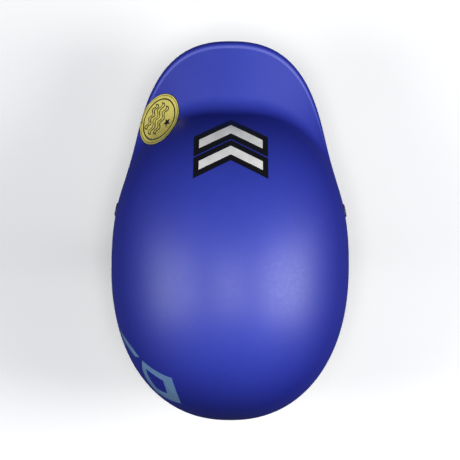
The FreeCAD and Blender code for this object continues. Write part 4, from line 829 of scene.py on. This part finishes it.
# Corners as (angle in thousands of degrees, level in metres).
SWEPT_BLADE = [(0.1195, 0.012), (0.124, 0.029), (0.1288, 0.041), (0.1335, 0.0475), (0.1325, 0.037),
               (0.128, 0.028), (0.1245, 0.018)]
SWEPT_FRAME = [(0.1355, 0.0505), (0.1398, 0.058), (0.1448, 0.0655), (0.1505, 0.0735), (0.1548, 0.064),
               (0.1578, 0.054), (0.160, 0.0425), (0.1552, 0.031), (0.149, 0.021), (0.1430, 0.028),
               (0.1385, 0.038)]
SWEPT_WINDOW = [(0.1392, 0.0475), (0.144, 0.0555), (0.1482, 0.061), (0.1508, 0.0543), (0.1532, 0.045),
                (0.1510, 0.0385), (0.1486, 0.0330), (0.1452, 0.0365), (0.1418, 0.0415)]


def build_swept_print():
    """Pale swept blade and open lozenge on the left at the rear."""
    layers = [([SWEPT_BLADE], onto_wall, FIRST_LAYER, PAINTS["ink_pale_blue"]),
              ([SWEPT_FRAME, SWEPT_WINDOW], onto_wall, FIRST_LAYER, PAINTS["ink_pale_blue"])]
    film_object("swept_print", layers)


# ---------------------------------------------------------------- foam liner and comfort pads

FOAM_VOXEL = 0.0022
FOAM_SMOOTHING = 6
PAD_VOXEL = 0.0012
PAD_SMOOTHING = 8
PAD_COLUMNS = 44
PAD_ROWS = 20
PAD_MARGIN = 0.0015
PAD_BACK = 0.0003
# How far a pad's corners are drawn in: a little, or right round to an oval.
SQUARE = 0.16
OVAL = 0.5
# Half width of a sewn channel, as a share of the pad's half length.
CHANNEL = 0.13
BINDING_RADIUS = 0.0012
BINDING_SIDES = 10
# Shares of its reach at which a ray at a pad's edge is tried, until one meets the pad.
DRAWN_IN = (1.0, 0.98, 0.96, 0.94, 0.92, 0.90, 0.87)
PAD_SWELL_CAP = 0.0035
DOT_ROUNDING = 0.00015
SWELL_FRAMES = 20
CLOTH = {"quality": 6, "mass": 0.15, "use_pressure": True, "uniform_pressure_force": 4.0,
         "shrink_min": -0.06, "shrink_max": -0.06, "tension_stiffness": 12,
         "compression_stiffness": 12, "bending_stiffness": 0.3, "vertex_group_mass": "sewn"}


def build_liner():
    for part in ("centre", "left", "right"):
        node = "liner_" + part
        piece = rounded_copy(node, "foam_" + part, FOAM_VOXEL, FOAM_SMOOTHING, PAINTS["bead_foam"])
        settle(piece, "helmet", [node])


def seated(tree, ray, u, v):
    """Where a ray enters and leaves the pad, drawn in a little where it would miss, and its direction."""
    for share in DRAWN_IN:
        start, direction = ray(u * share, v * share)
        near = tree.ray_cast(start, direction)[0]
        if near is not None:
            far = tree.ray_cast(near + direction * 0.001, direction)[0]
            if far is not None:
                return near, far, direction
    raise RuntimeError("a ray misses the pad at %.2f, %.2f" % (u, v))


def pad_grid(node, ray, roundness, seams):
    """Backing points, face points and pin weights of a pad, column after column, sized from its node."""
    tree = node_tree(node)
    back, face, pins = [], [], []
    for column in range(PAD_COLUMNS + 1):
        for row in range(PAD_ROWS + 1):
            u, v = 2 * column / PAD_COLUMNS - 1, 2 * row / PAD_ROWS - 1
            near, far, direction = seated(tree, ray, u * math.sqrt(1 - roundness * v * v),
                                          v * math.sqrt(1 - roundness * u * u))
            plump = (max(0.0, (1 - u * u) * (1 - v * v))) ** 0.22
            sewn = min(min(1.0, abs(u - place) / CHANNEL) ** 0.8 for place in seams)
            rise = 0.12 + 0.50 * plump * (0.35 + 0.65 * sewn)
            back.append(far - direction * PAD_BACK)
            face.append(far + (near - far) * rise)
            pins.append(1.0 if 1 in (abs(u), abs(v)) or sewn < 0.25 else 0.0)
    return back, face, pins


def pad_border():
    """Numbers of the points round a pad's grid."""
    rows = PAD_ROWS + 1
    last = (PAD_COLUMNS + 1) * rows
    return [*range(0, last - rows, rows), *range(last - rows, last - 1),
            *range(last - 1, rows - 1, -rows), *range(rows - 1, 0, -1)]


def pad_mesh(name, back, face, pins):
    """Closed mesh: face towards the head, flat backing, joined round the border."""
    count = len(face)
    faces = []
    for quad in grid_faces(PAD_COLUMNS + 1, PAD_ROWS + 1, closed=False):
        faces += [quad[:1] + quad[:0:-1], [count + corner for corner in quad[1:] + quad[:1]]]
    faces += [(there, here, count + here, count + there) for here, there in ring_pairs(pad_border())]
    obj = new_object(name, face + back, faces, [PAINTS["pad_knit"]], smooth=80)
    pin_group = obj.vertex_groups.new(name="sewn")
    for number, weight in enumerate(pins + [1.0] * count):
        if weight:
            pin_group.add([number], weight, "REPLACE")
    return obj


def swell(obj):
    """Inflate the cloth between its seams, then keep every point within the cap."""
    before = [vertex.co.copy() for vertex in obj.data.vertices]
    cloth = obj.modifiers.new("swell", "CLOTH")
    for name, value in CLOTH.items():
        setattr(cloth.settings, name, value)
    cloth.settings.effector_weights.gravity = 0
    cloth.collision_settings.use_collision = False
    cloth.point_cache.frame_start = 1
    cloth.point_cache.frame_end = SWELL_FRAMES
    for number in range(1, SWELL_FRAMES + 1):
        bpy.context.scene.frame_set(number)
    applied(obj)
    bpy.context.scene.frame_set(1)
    for vertex, start in zip(obj.data.vertices, before):
        move = vertex.co - start
        if move.length > PAD_SWELL_CAP:
            vertex.co = start + move * (PAD_SWELL_CAP / move.length)


def build_pad(name, node, ray, roundness, seams):
    """Sewn pad with a bound edge, standing for a node."""
    back, face, pins = pad_grid(node, ray, roundness, seams)
    obj = pad_mesh(name, back, face, pins)
    swell(obj)
    modified(obj, "SUBSURF", levels=1, render_levels=1)
    obj.data.shade_smooth()
    settle(obj, "helmet", [node])
    edge = [back[number] * 0.5 + face[number] * 0.5 for number in pad_border()]
    middle = sum(edge, Vector()) / len(edge)
    edge = [point + (middle - point).normalized() * BINDING_RADIUS for point in edge]
    bound_edge(name + "_binding", edge)


def bound_edge(name, path):
    """Round binding along a closed path."""
    frames, side = [], None
    for number, here in enumerate(path):
        forward = (path[(number + 1) % len(path)] - path[number - 1]).normalized()
        if side is None:
            side = forward.orthogonal().normalized()
        side = (side - forward * side.dot(forward)).normalized()
        frames.append((here, side, forward.cross(side)))
    turns = [2 * math.pi * step / BINDING_SIDES for step in range(BINDING_SIDES)]
    section = [(BINDING_RADIUS * math.cos(turn), BINDING_RADIUS * math.sin(turn)) for turn in turns]
    obj = swept(name, frames, section, [BINDING_RADIUS * turn for turn in turns], PAINTS["binding"],
                closed=True, smooth=80)
    settle(obj, "helmet")


def inner_box(node):
    low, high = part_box(node)
    return low + Vector((PAD_MARGIN,) * 3), high - Vector((PAD_MARGIN,) * 3)


def fan_ray(node, half_turn, forward):
    """Level rays from the axis: u turns, v rises."""
    low, high = inner_box(node)

    def ray(u, v):
        turn = math.radians(half_turn * u)
        level = (low.z + high.z) / 2 + v * (high.z - low.z) / 2
        return Vector((0, 0, level)), Vector((math.sin(turn), -forward * math.cos(turn), 0))
    return ray


def straight_ray(node, axes, start, direction):
    """Rays all one way from a level or a wall inside the helmet: u and v each go along an axis."""
    low, high = inner_box(node)

    def ray(u, v):
        place = start.copy()
        for axis, share in zip(axes, (u, v)):
            place[axis] = (low[axis] + high[axis]) / 2 + share * (high[axis] - low[axis]) / 2
        return place, direction
    return ray


def build_pads():
    build_pad("pad_brow", "brow_pad", fan_ray("brow_pad", 41.5, 1), SQUARE, (-0.36, 0.36))
    build_pad("pad_rear", "rear_pad", fan_ray("rear_pad", 25, -1), SQUARE, (0.0,))
    for side, word in SIDES.items():
        node = "side_pad_" + word
        out = X_AXIS * side
        build_pad("pad_side_" + word, node, straight_ray(node, (1, 2), out * 0.02, out), SQUARE, (0.0,))
    up = straight_ray("crown_pad", (1, 0), Z_AXIS * 0.02, Z_AXIS)
    build_pad("pad_crown", "crown_pad", up, OVAL, (-0.4, 0.4))


def build_cradle_pads():
    """The two solids of one node, rounded as soft pads of their own."""
    both = rounded_copy("cradle_pads", "cradle_pads_soft", PAD_VOXEL, PAD_SMOOTHING, PAINTS["pad_knit"])
    for number, side in enumerate(SIDES, start=1):
        half = linked("pad_cradle_%d" % number, both.data.copy())
        edited(half.data, lambda tool: bmesh.ops.delete(
            tool, geom=[vert for vert in tool.verts if vert.co.x * side < 0], context="VERTS"))
        settle(half, "fit_cradle", ["cradle_pads"])
    bpy.data.objects.remove(both)


def build_hook_dots():
    """Domed hook discs in place of the plain ones."""
    obj = node_copy("pad_hook_dots", "hook_dots")
    edited(obj.data, merged)
    modified(obj, "BEVEL", width=DOT_ROUNDING, segments=2)
    painted(obj.data, PAINTS["hook_tape"])
    settle(obj, "helmet", ["pad_hook_dots"])


# ---------------------------------------------------------------- webbing

WEB_WIDTH = 0.016
WEB_THICK = 0.0015
LAYER_OFFSET = 0.0008
TAB_DEPTH = 0.00465
JUNCTION = Vector((0.075, -0.002, -0.080))
LAYERED_RUN = 0.020
LOWER_RUN = 0.020
LOOP_MIDDLE = Vector((0, -0.002, -0.106))
LOOP_RADIUS = 0.044
# Distance from the bend down the run to the buckle's middle, a place that the keeper never reaches.
BUCKLE_PLACE = 0.026
BASE_STRAP_END = 0.0232
SLIDER_STRAP_END = 0.025
CHIN_SPLICE = 0.0031
TAIL_END_ANGLE = -100
STRAP_STEP = 0.0015
LOOP_STEP = 2.0
STITCH_RADIUS = 0.00028
STITCH_LENGTH = 0.0021
STITCH_PITCH = 0.0030
STITCH_SIDES = 6
STITCH_RINGS = 5
# Stitched rows lie this far either side of the tape's middle.
ROW_OFFSET = 0.0055
# A bar of the buckle, and the air between it and the tape that turns round it.
BAR_HALF = 0.0012
TURN_GAP = 0.0002
TAB_PLACE = 0.0058
TAB_REACH = (0.0082, 0.0288)
TAB_SEAM = (0.0125, 0.0275)
TAB_SEAM_OFFSET = 0.0028
# How far a riveted tab lies flat on the wall, behind the rivet and before it.
TAB_BEHIND = 0.009
TAB_BEFORE = 0.010
BOX_HALF_LONG = 0.0045
BOX_HALF_WIDE = 0.0052
TAIL_SEAM_HALF = 0.0062


def flipped(point):
    return Vector((-point.x, point.y, point.z))


def mirrored(rows):
    """Stations or runs of the left side taken to the right."""
    return [tuple(flipped(each) for each in row) for row in rows]


def divider_axes(side):
    """Junction, and the directions down the strap and out of the helmet."""
    here = JUNCTION if side > 0 else flipped(JUNCTION)
    front = RIVET_SEATS[side, "front"][0] - here
    rear = RIVET_SEATS[side, "rear"][0] - here
    out = rear.cross(front)
    out = Vector((out.x, 0, out.z)).normalized()
    if out.x * side < 0:
        out = -out
    down = Y_AXIS.cross(out).normalized()
    return here, down if down.z < 0 else -down, out


def curve_through(points, step=STRAP_STEP):
    """Evenly stepped smooth curve through (point, normal) stations."""
    made = []
    count = len(points)
    for number in range(count - 1):
        p0, p1, p2, p3 = (points[min(max(number + offset, 0), count - 1)][0] for offset in (-1, 0, 1, 2))
        n1, n2 = points[number][1], points[number + 1][1]
        length = (p2 - p1).length
        parts = max(2, round(length / step))
        lead = (p2 - p0).normalized() * length if number else (p2 - p1)
        trail = (p3 - p1).normalized() * length if number < count - 2 else (p2 - p1)
        for part in range(parts):
            t = part / parts
            spot = (p1 * (2 * t ** 3 - 3 * t ** 2 + 1) + lead * (t ** 3 - 2 * t ** 2 + t)
                    + p2 * (3 * t ** 2 - 2 * t ** 3) + trail * (t ** 3 - t ** 2))
            made.append((spot, (n1 * (1 - t) + n2 * t).normalized()))
    made.append(points[-1])
    return made


def tape_section():
    """Outline of the tape: flat faces, rounded selvedges."""
    thick = WEB_THICK / 2
    edge = WEB_WIDTH / 2 - thick
    flat = [-edge + 2 * edge * step / 8 for step in range(9)]
    half = [(x, thick * (0.93 if abs(x) < edge * 0.8 else 1.0)) for x in flat]
    half += [(edge + thick * math.sin(turn), thick * math.cos(turn))
             for turn in (math.pi / 4, math.pi / 2, 3 * math.pi / 4)]
    return half + [(-x, -z) for x, z in half]


SECTION = tape_section()


def tape(name, stations, body=None, replaces=(), width=1.0):
    """Woven tape along stations of (middle, outward normal)."""
    frames = []
    for number, (middle, normal) in enumerate(stations):
        before, after = stations[max(number - 1, 0)][0], stations[min(number + 1, len(stations) - 1)][0]
        along = (after - before).normalized()
        across = normal.cross(along).normalized()
        frames.append((middle, across, along.cross(across).normalized()))
    obj = swept(name, frames, [(x * width, z) for x, z in SECTION], [x for x, _ in SECTION],
                PAINTS["webbing"])
    return settle(obj, body, replaces)


def stitches(name, runs, body):
    """Sewn thread: a short plump stitch at every step of each run of (start, end, outward normal)."""
    points, faces = [], []
    turns = [2 * math.pi * turn / STITCH_SIDES for turn in range(STITCH_SIDES)]
    for start, end, out in runs:
        count = max(1, round((end - start).length / STITCH_PITCH))
        along = (end - start).normalized()
        side = along.cross(out).normalized()
        for number in range(count):
            middle = start + (end - start) * ((number + 0.5) / count)
            faces += tube_faces(STITCH_RINGS, STITCH_SIDES, len(points))
            for step in range(STITCH_RINGS):
                share = 2 * step / (STITCH_RINGS - 1) - 1
                thick = STITCH_RADIUS * math.sqrt(max(0.02, 1 - share ** 4))
                centre = middle + along * (share * STITCH_LENGTH / 2) + out * thick * 0.42
                points += [centre + (side * math.cos(turn) + out * math.sin(turn)) * thick
                           for turn in turns]
    new_object(name, points, faces, [PAINTS["thread"]], body, smooth=80)


def box_stitch(middle, along, across, out):
    """Runs of a rectangle with a cross in it, on one face of the tape."""
    corners = [middle + along * a * BOX_HALF_LONG + across * b * BOX_HALF_WIDE + out * WEB_THICK / 2
               for a, b in ((-1, -1), (1, -1), (1, 1), (-1, 1))]
    runs = [*ring_pairs(corners), (corners[0], corners[2]), (corners[1], corners[3])]
    return [(start, end, out) for start, end in runs]


def upper_strap(side, end, layer):
    """From the riveted tab down to the junction, where it is sewn to the other leg."""
    here, _, out = divider_axes(side)
    seat, _, _, wall = RIVET_SEATS[side, end]
    finish = here + out * layer * LAYER_OFFSET
    anchor = seat - wall * TAB_DEPTH
    whole = finish - anchor
    run = (whole - wall * whole.dot(wall)).normalized()
    along = (whole - out * whole.dot(out)).normalized()
    past = along * LAYERED_RUN
    stations = curve_through([(anchor - run * TAB_BEHIND, wall), (anchor, wall),
                              (anchor + run * TAB_BEFORE, wall), (finish - past, out), (finish, out)])
    name = "%s_webbing_%s" % (end, SIDES[side])
    tape(name, stations, "helmet", ["%s_strap_%s" % (end, SIDES[side])])
    runs = []
    for face in (1, -1):
        runs += box_stitch(finish - past * 0.96, along, out.cross(along).normalized(), out * face)
    stitches(name + "_stitches", runs, "helmet")


def loop_out(angle):
    """Direction from the middle of the chin loop at an angle."""
    turn = math.radians(angle)
    return Vector((math.cos(turn), 0, math.sin(turn)))


def run_axes():
    """Bend of the left strap, where it touches the chin loop, and the way down and out of that run."""
    here, down, _ = divider_axes(1)
    bend = here + down * LOWER_RUN
    reach = bend - LOOP_MIDDLE
    angle = math.degrees(math.atan2(reach.z, reach.x) - math.acos(LOOP_RADIUS / reach.length))
    touch = LOOP_MIDDLE + loop_out(angle) * LOOP_RADIUS
    down = (touch - bend).normalized()
    return bend, touch, angle, down, Vector((-down.z, 0, down.x))


BEND, TOUCH, TOUCH_ANGLE, RUN_DOWN, RUN_OUT = run_axes()


def along_buckle(distance, out=0.0):
    """Place along the buckle's run from its middle, and out of it."""
    return BEND + RUN_DOWN * (BUCKLE_PLACE + distance) + RUN_OUT * out


def straight(start, end, normal):
    parts = max(2, round((end - start).length / STRAP_STEP))
    return [(start + (end - start) * part / parts, normal) for part in range(parts + 1)]


def loop_stations(start, end, offset):
    parts = max(2, round(abs(end - start) / LOOP_STEP))
    outs = [loop_out(start + (end - start) * part / parts) for part in range(parts + 1)]
    return [(LOOP_MIDDLE + out * (LOOP_RADIUS + offset), out) for out in outs]


def lower_webbing(side):
    """Two layers of tape from the divider to the buckle, sewn together."""
    here, down, out = divider_axes(1)
    turned = mirrored if side < 0 else list
    bisector = (out + RUN_OUT).normalized()
    for number, offset in ((1, LAYER_OFFSET), (2, -LAYER_OFFSET)):
        corner = BEND + bisector * (offset / bisector.dot(out))
        stations = curve_through([(here + down * 0.002 + out * offset, out), (corner - down * 0.004, out),
                                  (corner + RUN_DOWN * 0.004, RUN_OUT),
                                  (along_buckle(-BASE_STRAP_END, offset), RUN_OUT)])
        tape("lower_webbing_%s_%d" % (SIDES[side], number), turned(stations), "helmet",
             ["lower_strap_" + SIDES[side]] if number == 1 else [])
    runs = []
    for face in (1, -1):
        above, below = (way * face * (LAYER_OFFSET + WEB_THICK / 2) for way in (out, RUN_OUT))
        for offset in (Y_AXIS * -ROW_OFFSET, Y_AXIS * ROW_OFFSET):
            runs.append((here + down * 0.0135 + offset + above, BEND - down * 0.0035 + offset + above,
                         out * face))
        for offset in (-ROW_OFFSET, 0.0):
            start = BEND + RUN_DOWN * 0.0012 + Y_AXIS * offset + below
            runs.append((start, start + Y_AXIS * ROW_OFFSET, RUN_OUT * face))
    stitches("lower_stitches_" + SIDES[side], turned(runs), "helmet")


def chin_webbing():
    """The strap that goes under the chin, and the loose end folded back along it."""
    touch, bend, out = flipped(TOUCH), flipped(BEND), flipped(RUN_OUT)
    offset = -LAYER_OFFSET
    finish = bend - (bend - touch).normalized() * CHIN_SPLICE + out * offset
    chin = (straight(along_buckle(SLIDER_STRAP_END, offset), TOUCH + RUN_OUT * offset, RUN_OUT)[:-1]
            + loop_stations(TOUCH_ANGLE, -180 - TOUCH_ANGLE, offset)
            + straight(touch + out * offset, finish, out)[1:])
    tail = (straight(along_buckle(SLIDER_STRAP_END, -offset), TOUCH - RUN_OUT * offset, RUN_OUT)[:-1]
            + loop_stations(TOUCH_ANGLE, TAIL_END_ANGLE, -offset))
    for name, stations, node in (("chin_webbing", chin, "chin_strap"),
                                 ("tail_webbing", tail, "strap_tail")):
        obj = tape(name, stations)
        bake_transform(obj)
        settle(obj, None, [node])
    fold_out = loop_out(TAIL_END_ANGLE + 4)
    fold = LOOP_MIDDLE + fold_out * (LOOP_RADIUS + LAYER_OFFSET + WEB_THICK / 2)
    half = Y_AXIS * TAIL_SEAM_HALF
    stitches("tail_stitches", [(fold - half, fold + half, fold_out)], "helmet")


def strap_turn(name, node, sign, bar_start, bar_end, finish, body):
    """Tape round a bar: out along one face, round the bar and back along the other."""
    away = BAR_HALF + TURN_GAP + WEB_THICK / 2
    upper = [(finish, LAYER_OFFSET), (bar_end + 0.0005, away), (bar_start, away)]
    turns = [math.pi * step / 12 for step in range(1, 12)]
    path = upper + [(bar_start - away * math.sin(turn), away * math.cos(turn)) for turn in turns]
    path += [(along, -off) for along, off in reversed(upper)]
    stations = []
    for number, (along, off) in enumerate(path):
        before, after = path[max(number - 1, 0)], path[min(number + 1, len(path) - 1)]
        direction = Vector((after[0] - before[0], after[1] - before[1])).normalized()
        normal = RUN_DOWN * sign * direction.y - RUN_OUT * direction.x
        stations.append((along_buckle(sign * along, off), normal.normalized()))
    tape(name, stations, body, [node])


def build_pull_tab():
    """Folded tape tab on the slider, with a stitched end."""
    start, end = TAB_REACH
    stations = [(along_buckle(TAB_PLACE) + Y_AXIS * (start + (end - start) * step / 14), RUN_OUT)
                for step in range(15)]
    tape("pull_tab_tape", stations, "buckle_slider_body", ["buckle_pull_tab"], width=0.48)
    runs = []
    for face in (1, -1):
        for offset in (-TAB_SEAM_OFFSET, TAB_SEAM_OFFSET):
            place = along_buckle(TAB_PLACE + offset, face * WEB_THICK / 2)
            first, last = (place + Y_AXIS * reach for reach in TAB_SEAM)
            runs.append((first, last, RUN_OUT * face))
    stitches("pull_tab_stitches", runs, "buckle_slider_body")


def build_webbing():
    for side in SIDES:
        upper_strap(side, "front", 1)
        upper_strap(side, "rear", -1)
        lower_webbing(side)
    chin_webbing()
    strap_turn("slider_turn", "slider_strap_turn", 1, 0.0128, 0.020, SLIDER_STRAP_END,
               "buckle_slider_body")
    strap_turn("base_turn", "base_strap_turn", -1, 0.0140, 0.018, BASE_STRAP_END, "helmet")
    build_pull_tab()


# ---------------------------------------------------------------- hard parts

# Section of a rivet cap: distance from its middle, and height above the wall.
CAP_SECTION = [(0.00225, 0.00015), (0.0033, 0.0002), (0.00345, 0.0007), (0.0039, 0.00095),
               (0.0046, 0.00095), (0.0052, 0.0007), (0.00575, 0.00025), (CAP_RADIUS, -0.0003),
               (0.00595, -0.00115), (0.00225, -0.00115)]
CAP_STEPS = 56
NODE_PAINTS = {
    "black_plastic": ["divider_left", "divider_right", "buckle_base", "buckle_slider", "temple_studs",
                      "arm_left", "arm_right", "cradle", "cradle_cover"],
    "dial_plastic": ["dial_knob"],
    "gear_plastic": ["dial_pinion", "rack_left", "rack_right"],
    "keeper_rubber": ["strap_keeper"],
    "steel": ["strap_rivet_posts", "strap_rivet_washers", "cover_screws", "dial_screw"],
    "magnet": ["buckle_base_magnets", "buckle_slider_magnets"],
}


def build_rivet_caps():
    """Domed rings let into the shell round the rivet heads."""
    points, faces = [], []
    for centre, up, along, normal in RIVET_SEATS.values():
        faces += tube_faces(CAP_STEPS, len(CAP_SECTION), len(points), closed=True)
        for step in range(CAP_STEPS):
            turn = 2 * math.pi * step / CAP_STEPS
            out = up * math.cos(turn) + along * math.sin(turn)
            points += [centre + out * reach + normal * height for reach, height in CAP_SECTION]
    new_object("rivet_caps", points, faces, [PAINTS["black_plastic"]], "helmet",
               ["strap_rivet_caps"], smooth=50)


def paint_nodes():
    for paint, names in NODE_PAINTS.items():
        for name in names:
            painted(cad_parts[name].data, PAINTS[paint])


# ---------------------------------------------------------------- floor, light and camera

FLOOR_GAP = 0.004
FLOOR_HALF = 6
WORLD_COLOUR = (0.6, 0.7, 1.0)
WORLD_STRENGTH = 0.07
# Name, place, size across and up, and power in watts; all face the origin.
SOFTBOXES = [("overhead", (0.0, 0.09, 1.85), (0.5, 0.4), 12.5),
             ("left_key", (1.27, 0.10, 0.78), (0.5, 1.7), 15.5),
             ("right_key", (-1.28, 0.07, 0.76), (0.5, 1.7), 25)]
CAMERA_HEIGHT = 1.6
CAMERA_SIDEWAYS = 0.0003
CAMERA_FORWARD = 0.0303
SENSOR_WIDTH = 36
VIEW_WIDTH = 0.3976
# The camera's small turn away from square, in degrees.
CAMERA_ROLL = 0.33


def build_stage():
    """Plain pale floor with a faint mottle, a little below the straps; it throws no light back."""
    floor = linked("floor", bpy.data.meshes.new("floor"))
    place = Matrix.Translation((0, 0, CAD_BOX[0][2] - FLOOR_GAP))
    edited(floor.data, lambda tool: bmesh.ops.create_grid(
        tool, x_segments=1, y_segments=1, size=FLOOR_HALF, matrix=place))
    paint = Paint("floor", (0.9, 0.9, 0.9), 0.9, Specular_IOR_Level=0.1)
    mottle = paint.mixed(paint.clouds(3, 3), (0.94, 0.94, 0.94), (0.97, 0.97, 0.97))
    painted(floor.data, paint.feed(Base_Color=mottle))
    floor.visible_diffuse = False
    floor.visible_glossy = False


def build_light():
    world = bpy.data.worlds.new("studio")
    world.use_nodes = True
    background = world.node_tree.nodes["Background"]
    background.inputs["Color"].default_value = (*WORLD_COLOUR, 1)
    background.inputs["Strength"].default_value = WORLD_STRENGTH
    bpy.context.scene.world = world
    for name, place, size, power in SOFTBOXES:
        light = bpy.data.lights.new(name, "AREA")
        light.shape = "RECTANGLE"
        light.size, light.size_y = size
        light.energy = power
        box = linked(name, light)
        box.location = place
        box.rotation_euler = (-Vector(place)).to_track_quat("-Z", "Y").to_euler()


def build_camera():
    """Straight above, brim towards the top of the picture."""
    camera = bpy.data.cameras.new("camera")
    camera.sensor_width = SENSOR_WIDTH
    camera.lens = SENSOR_WIDTH * (CAMERA_HEIGHT - WIDEST_LEVEL) / VIEW_WIDTH
    camera.clip_end = 20
    obj = linked("camera", camera)
    obj.location = (CAMERA_SIDEWAYS, -CAMERA_FORWARD, CAMERA_HEIGHT)
    obj.rotation_euler = (0, 0, math.radians(180 + CAMERA_ROLL))
    bpy.context.scene.camera = obj
    bpy.context.scene.view_settings.view_transform = "Standard"


build_shell()
build_chevrons()
build_badge()
build_side_label()
build_swept_print()
build_liner()
build_pads()
build_cradle_pads()
build_hook_dots()
build_webbing()
build_rivet_caps()
paint_nodes()
build_stage()
build_light()
build_camera()
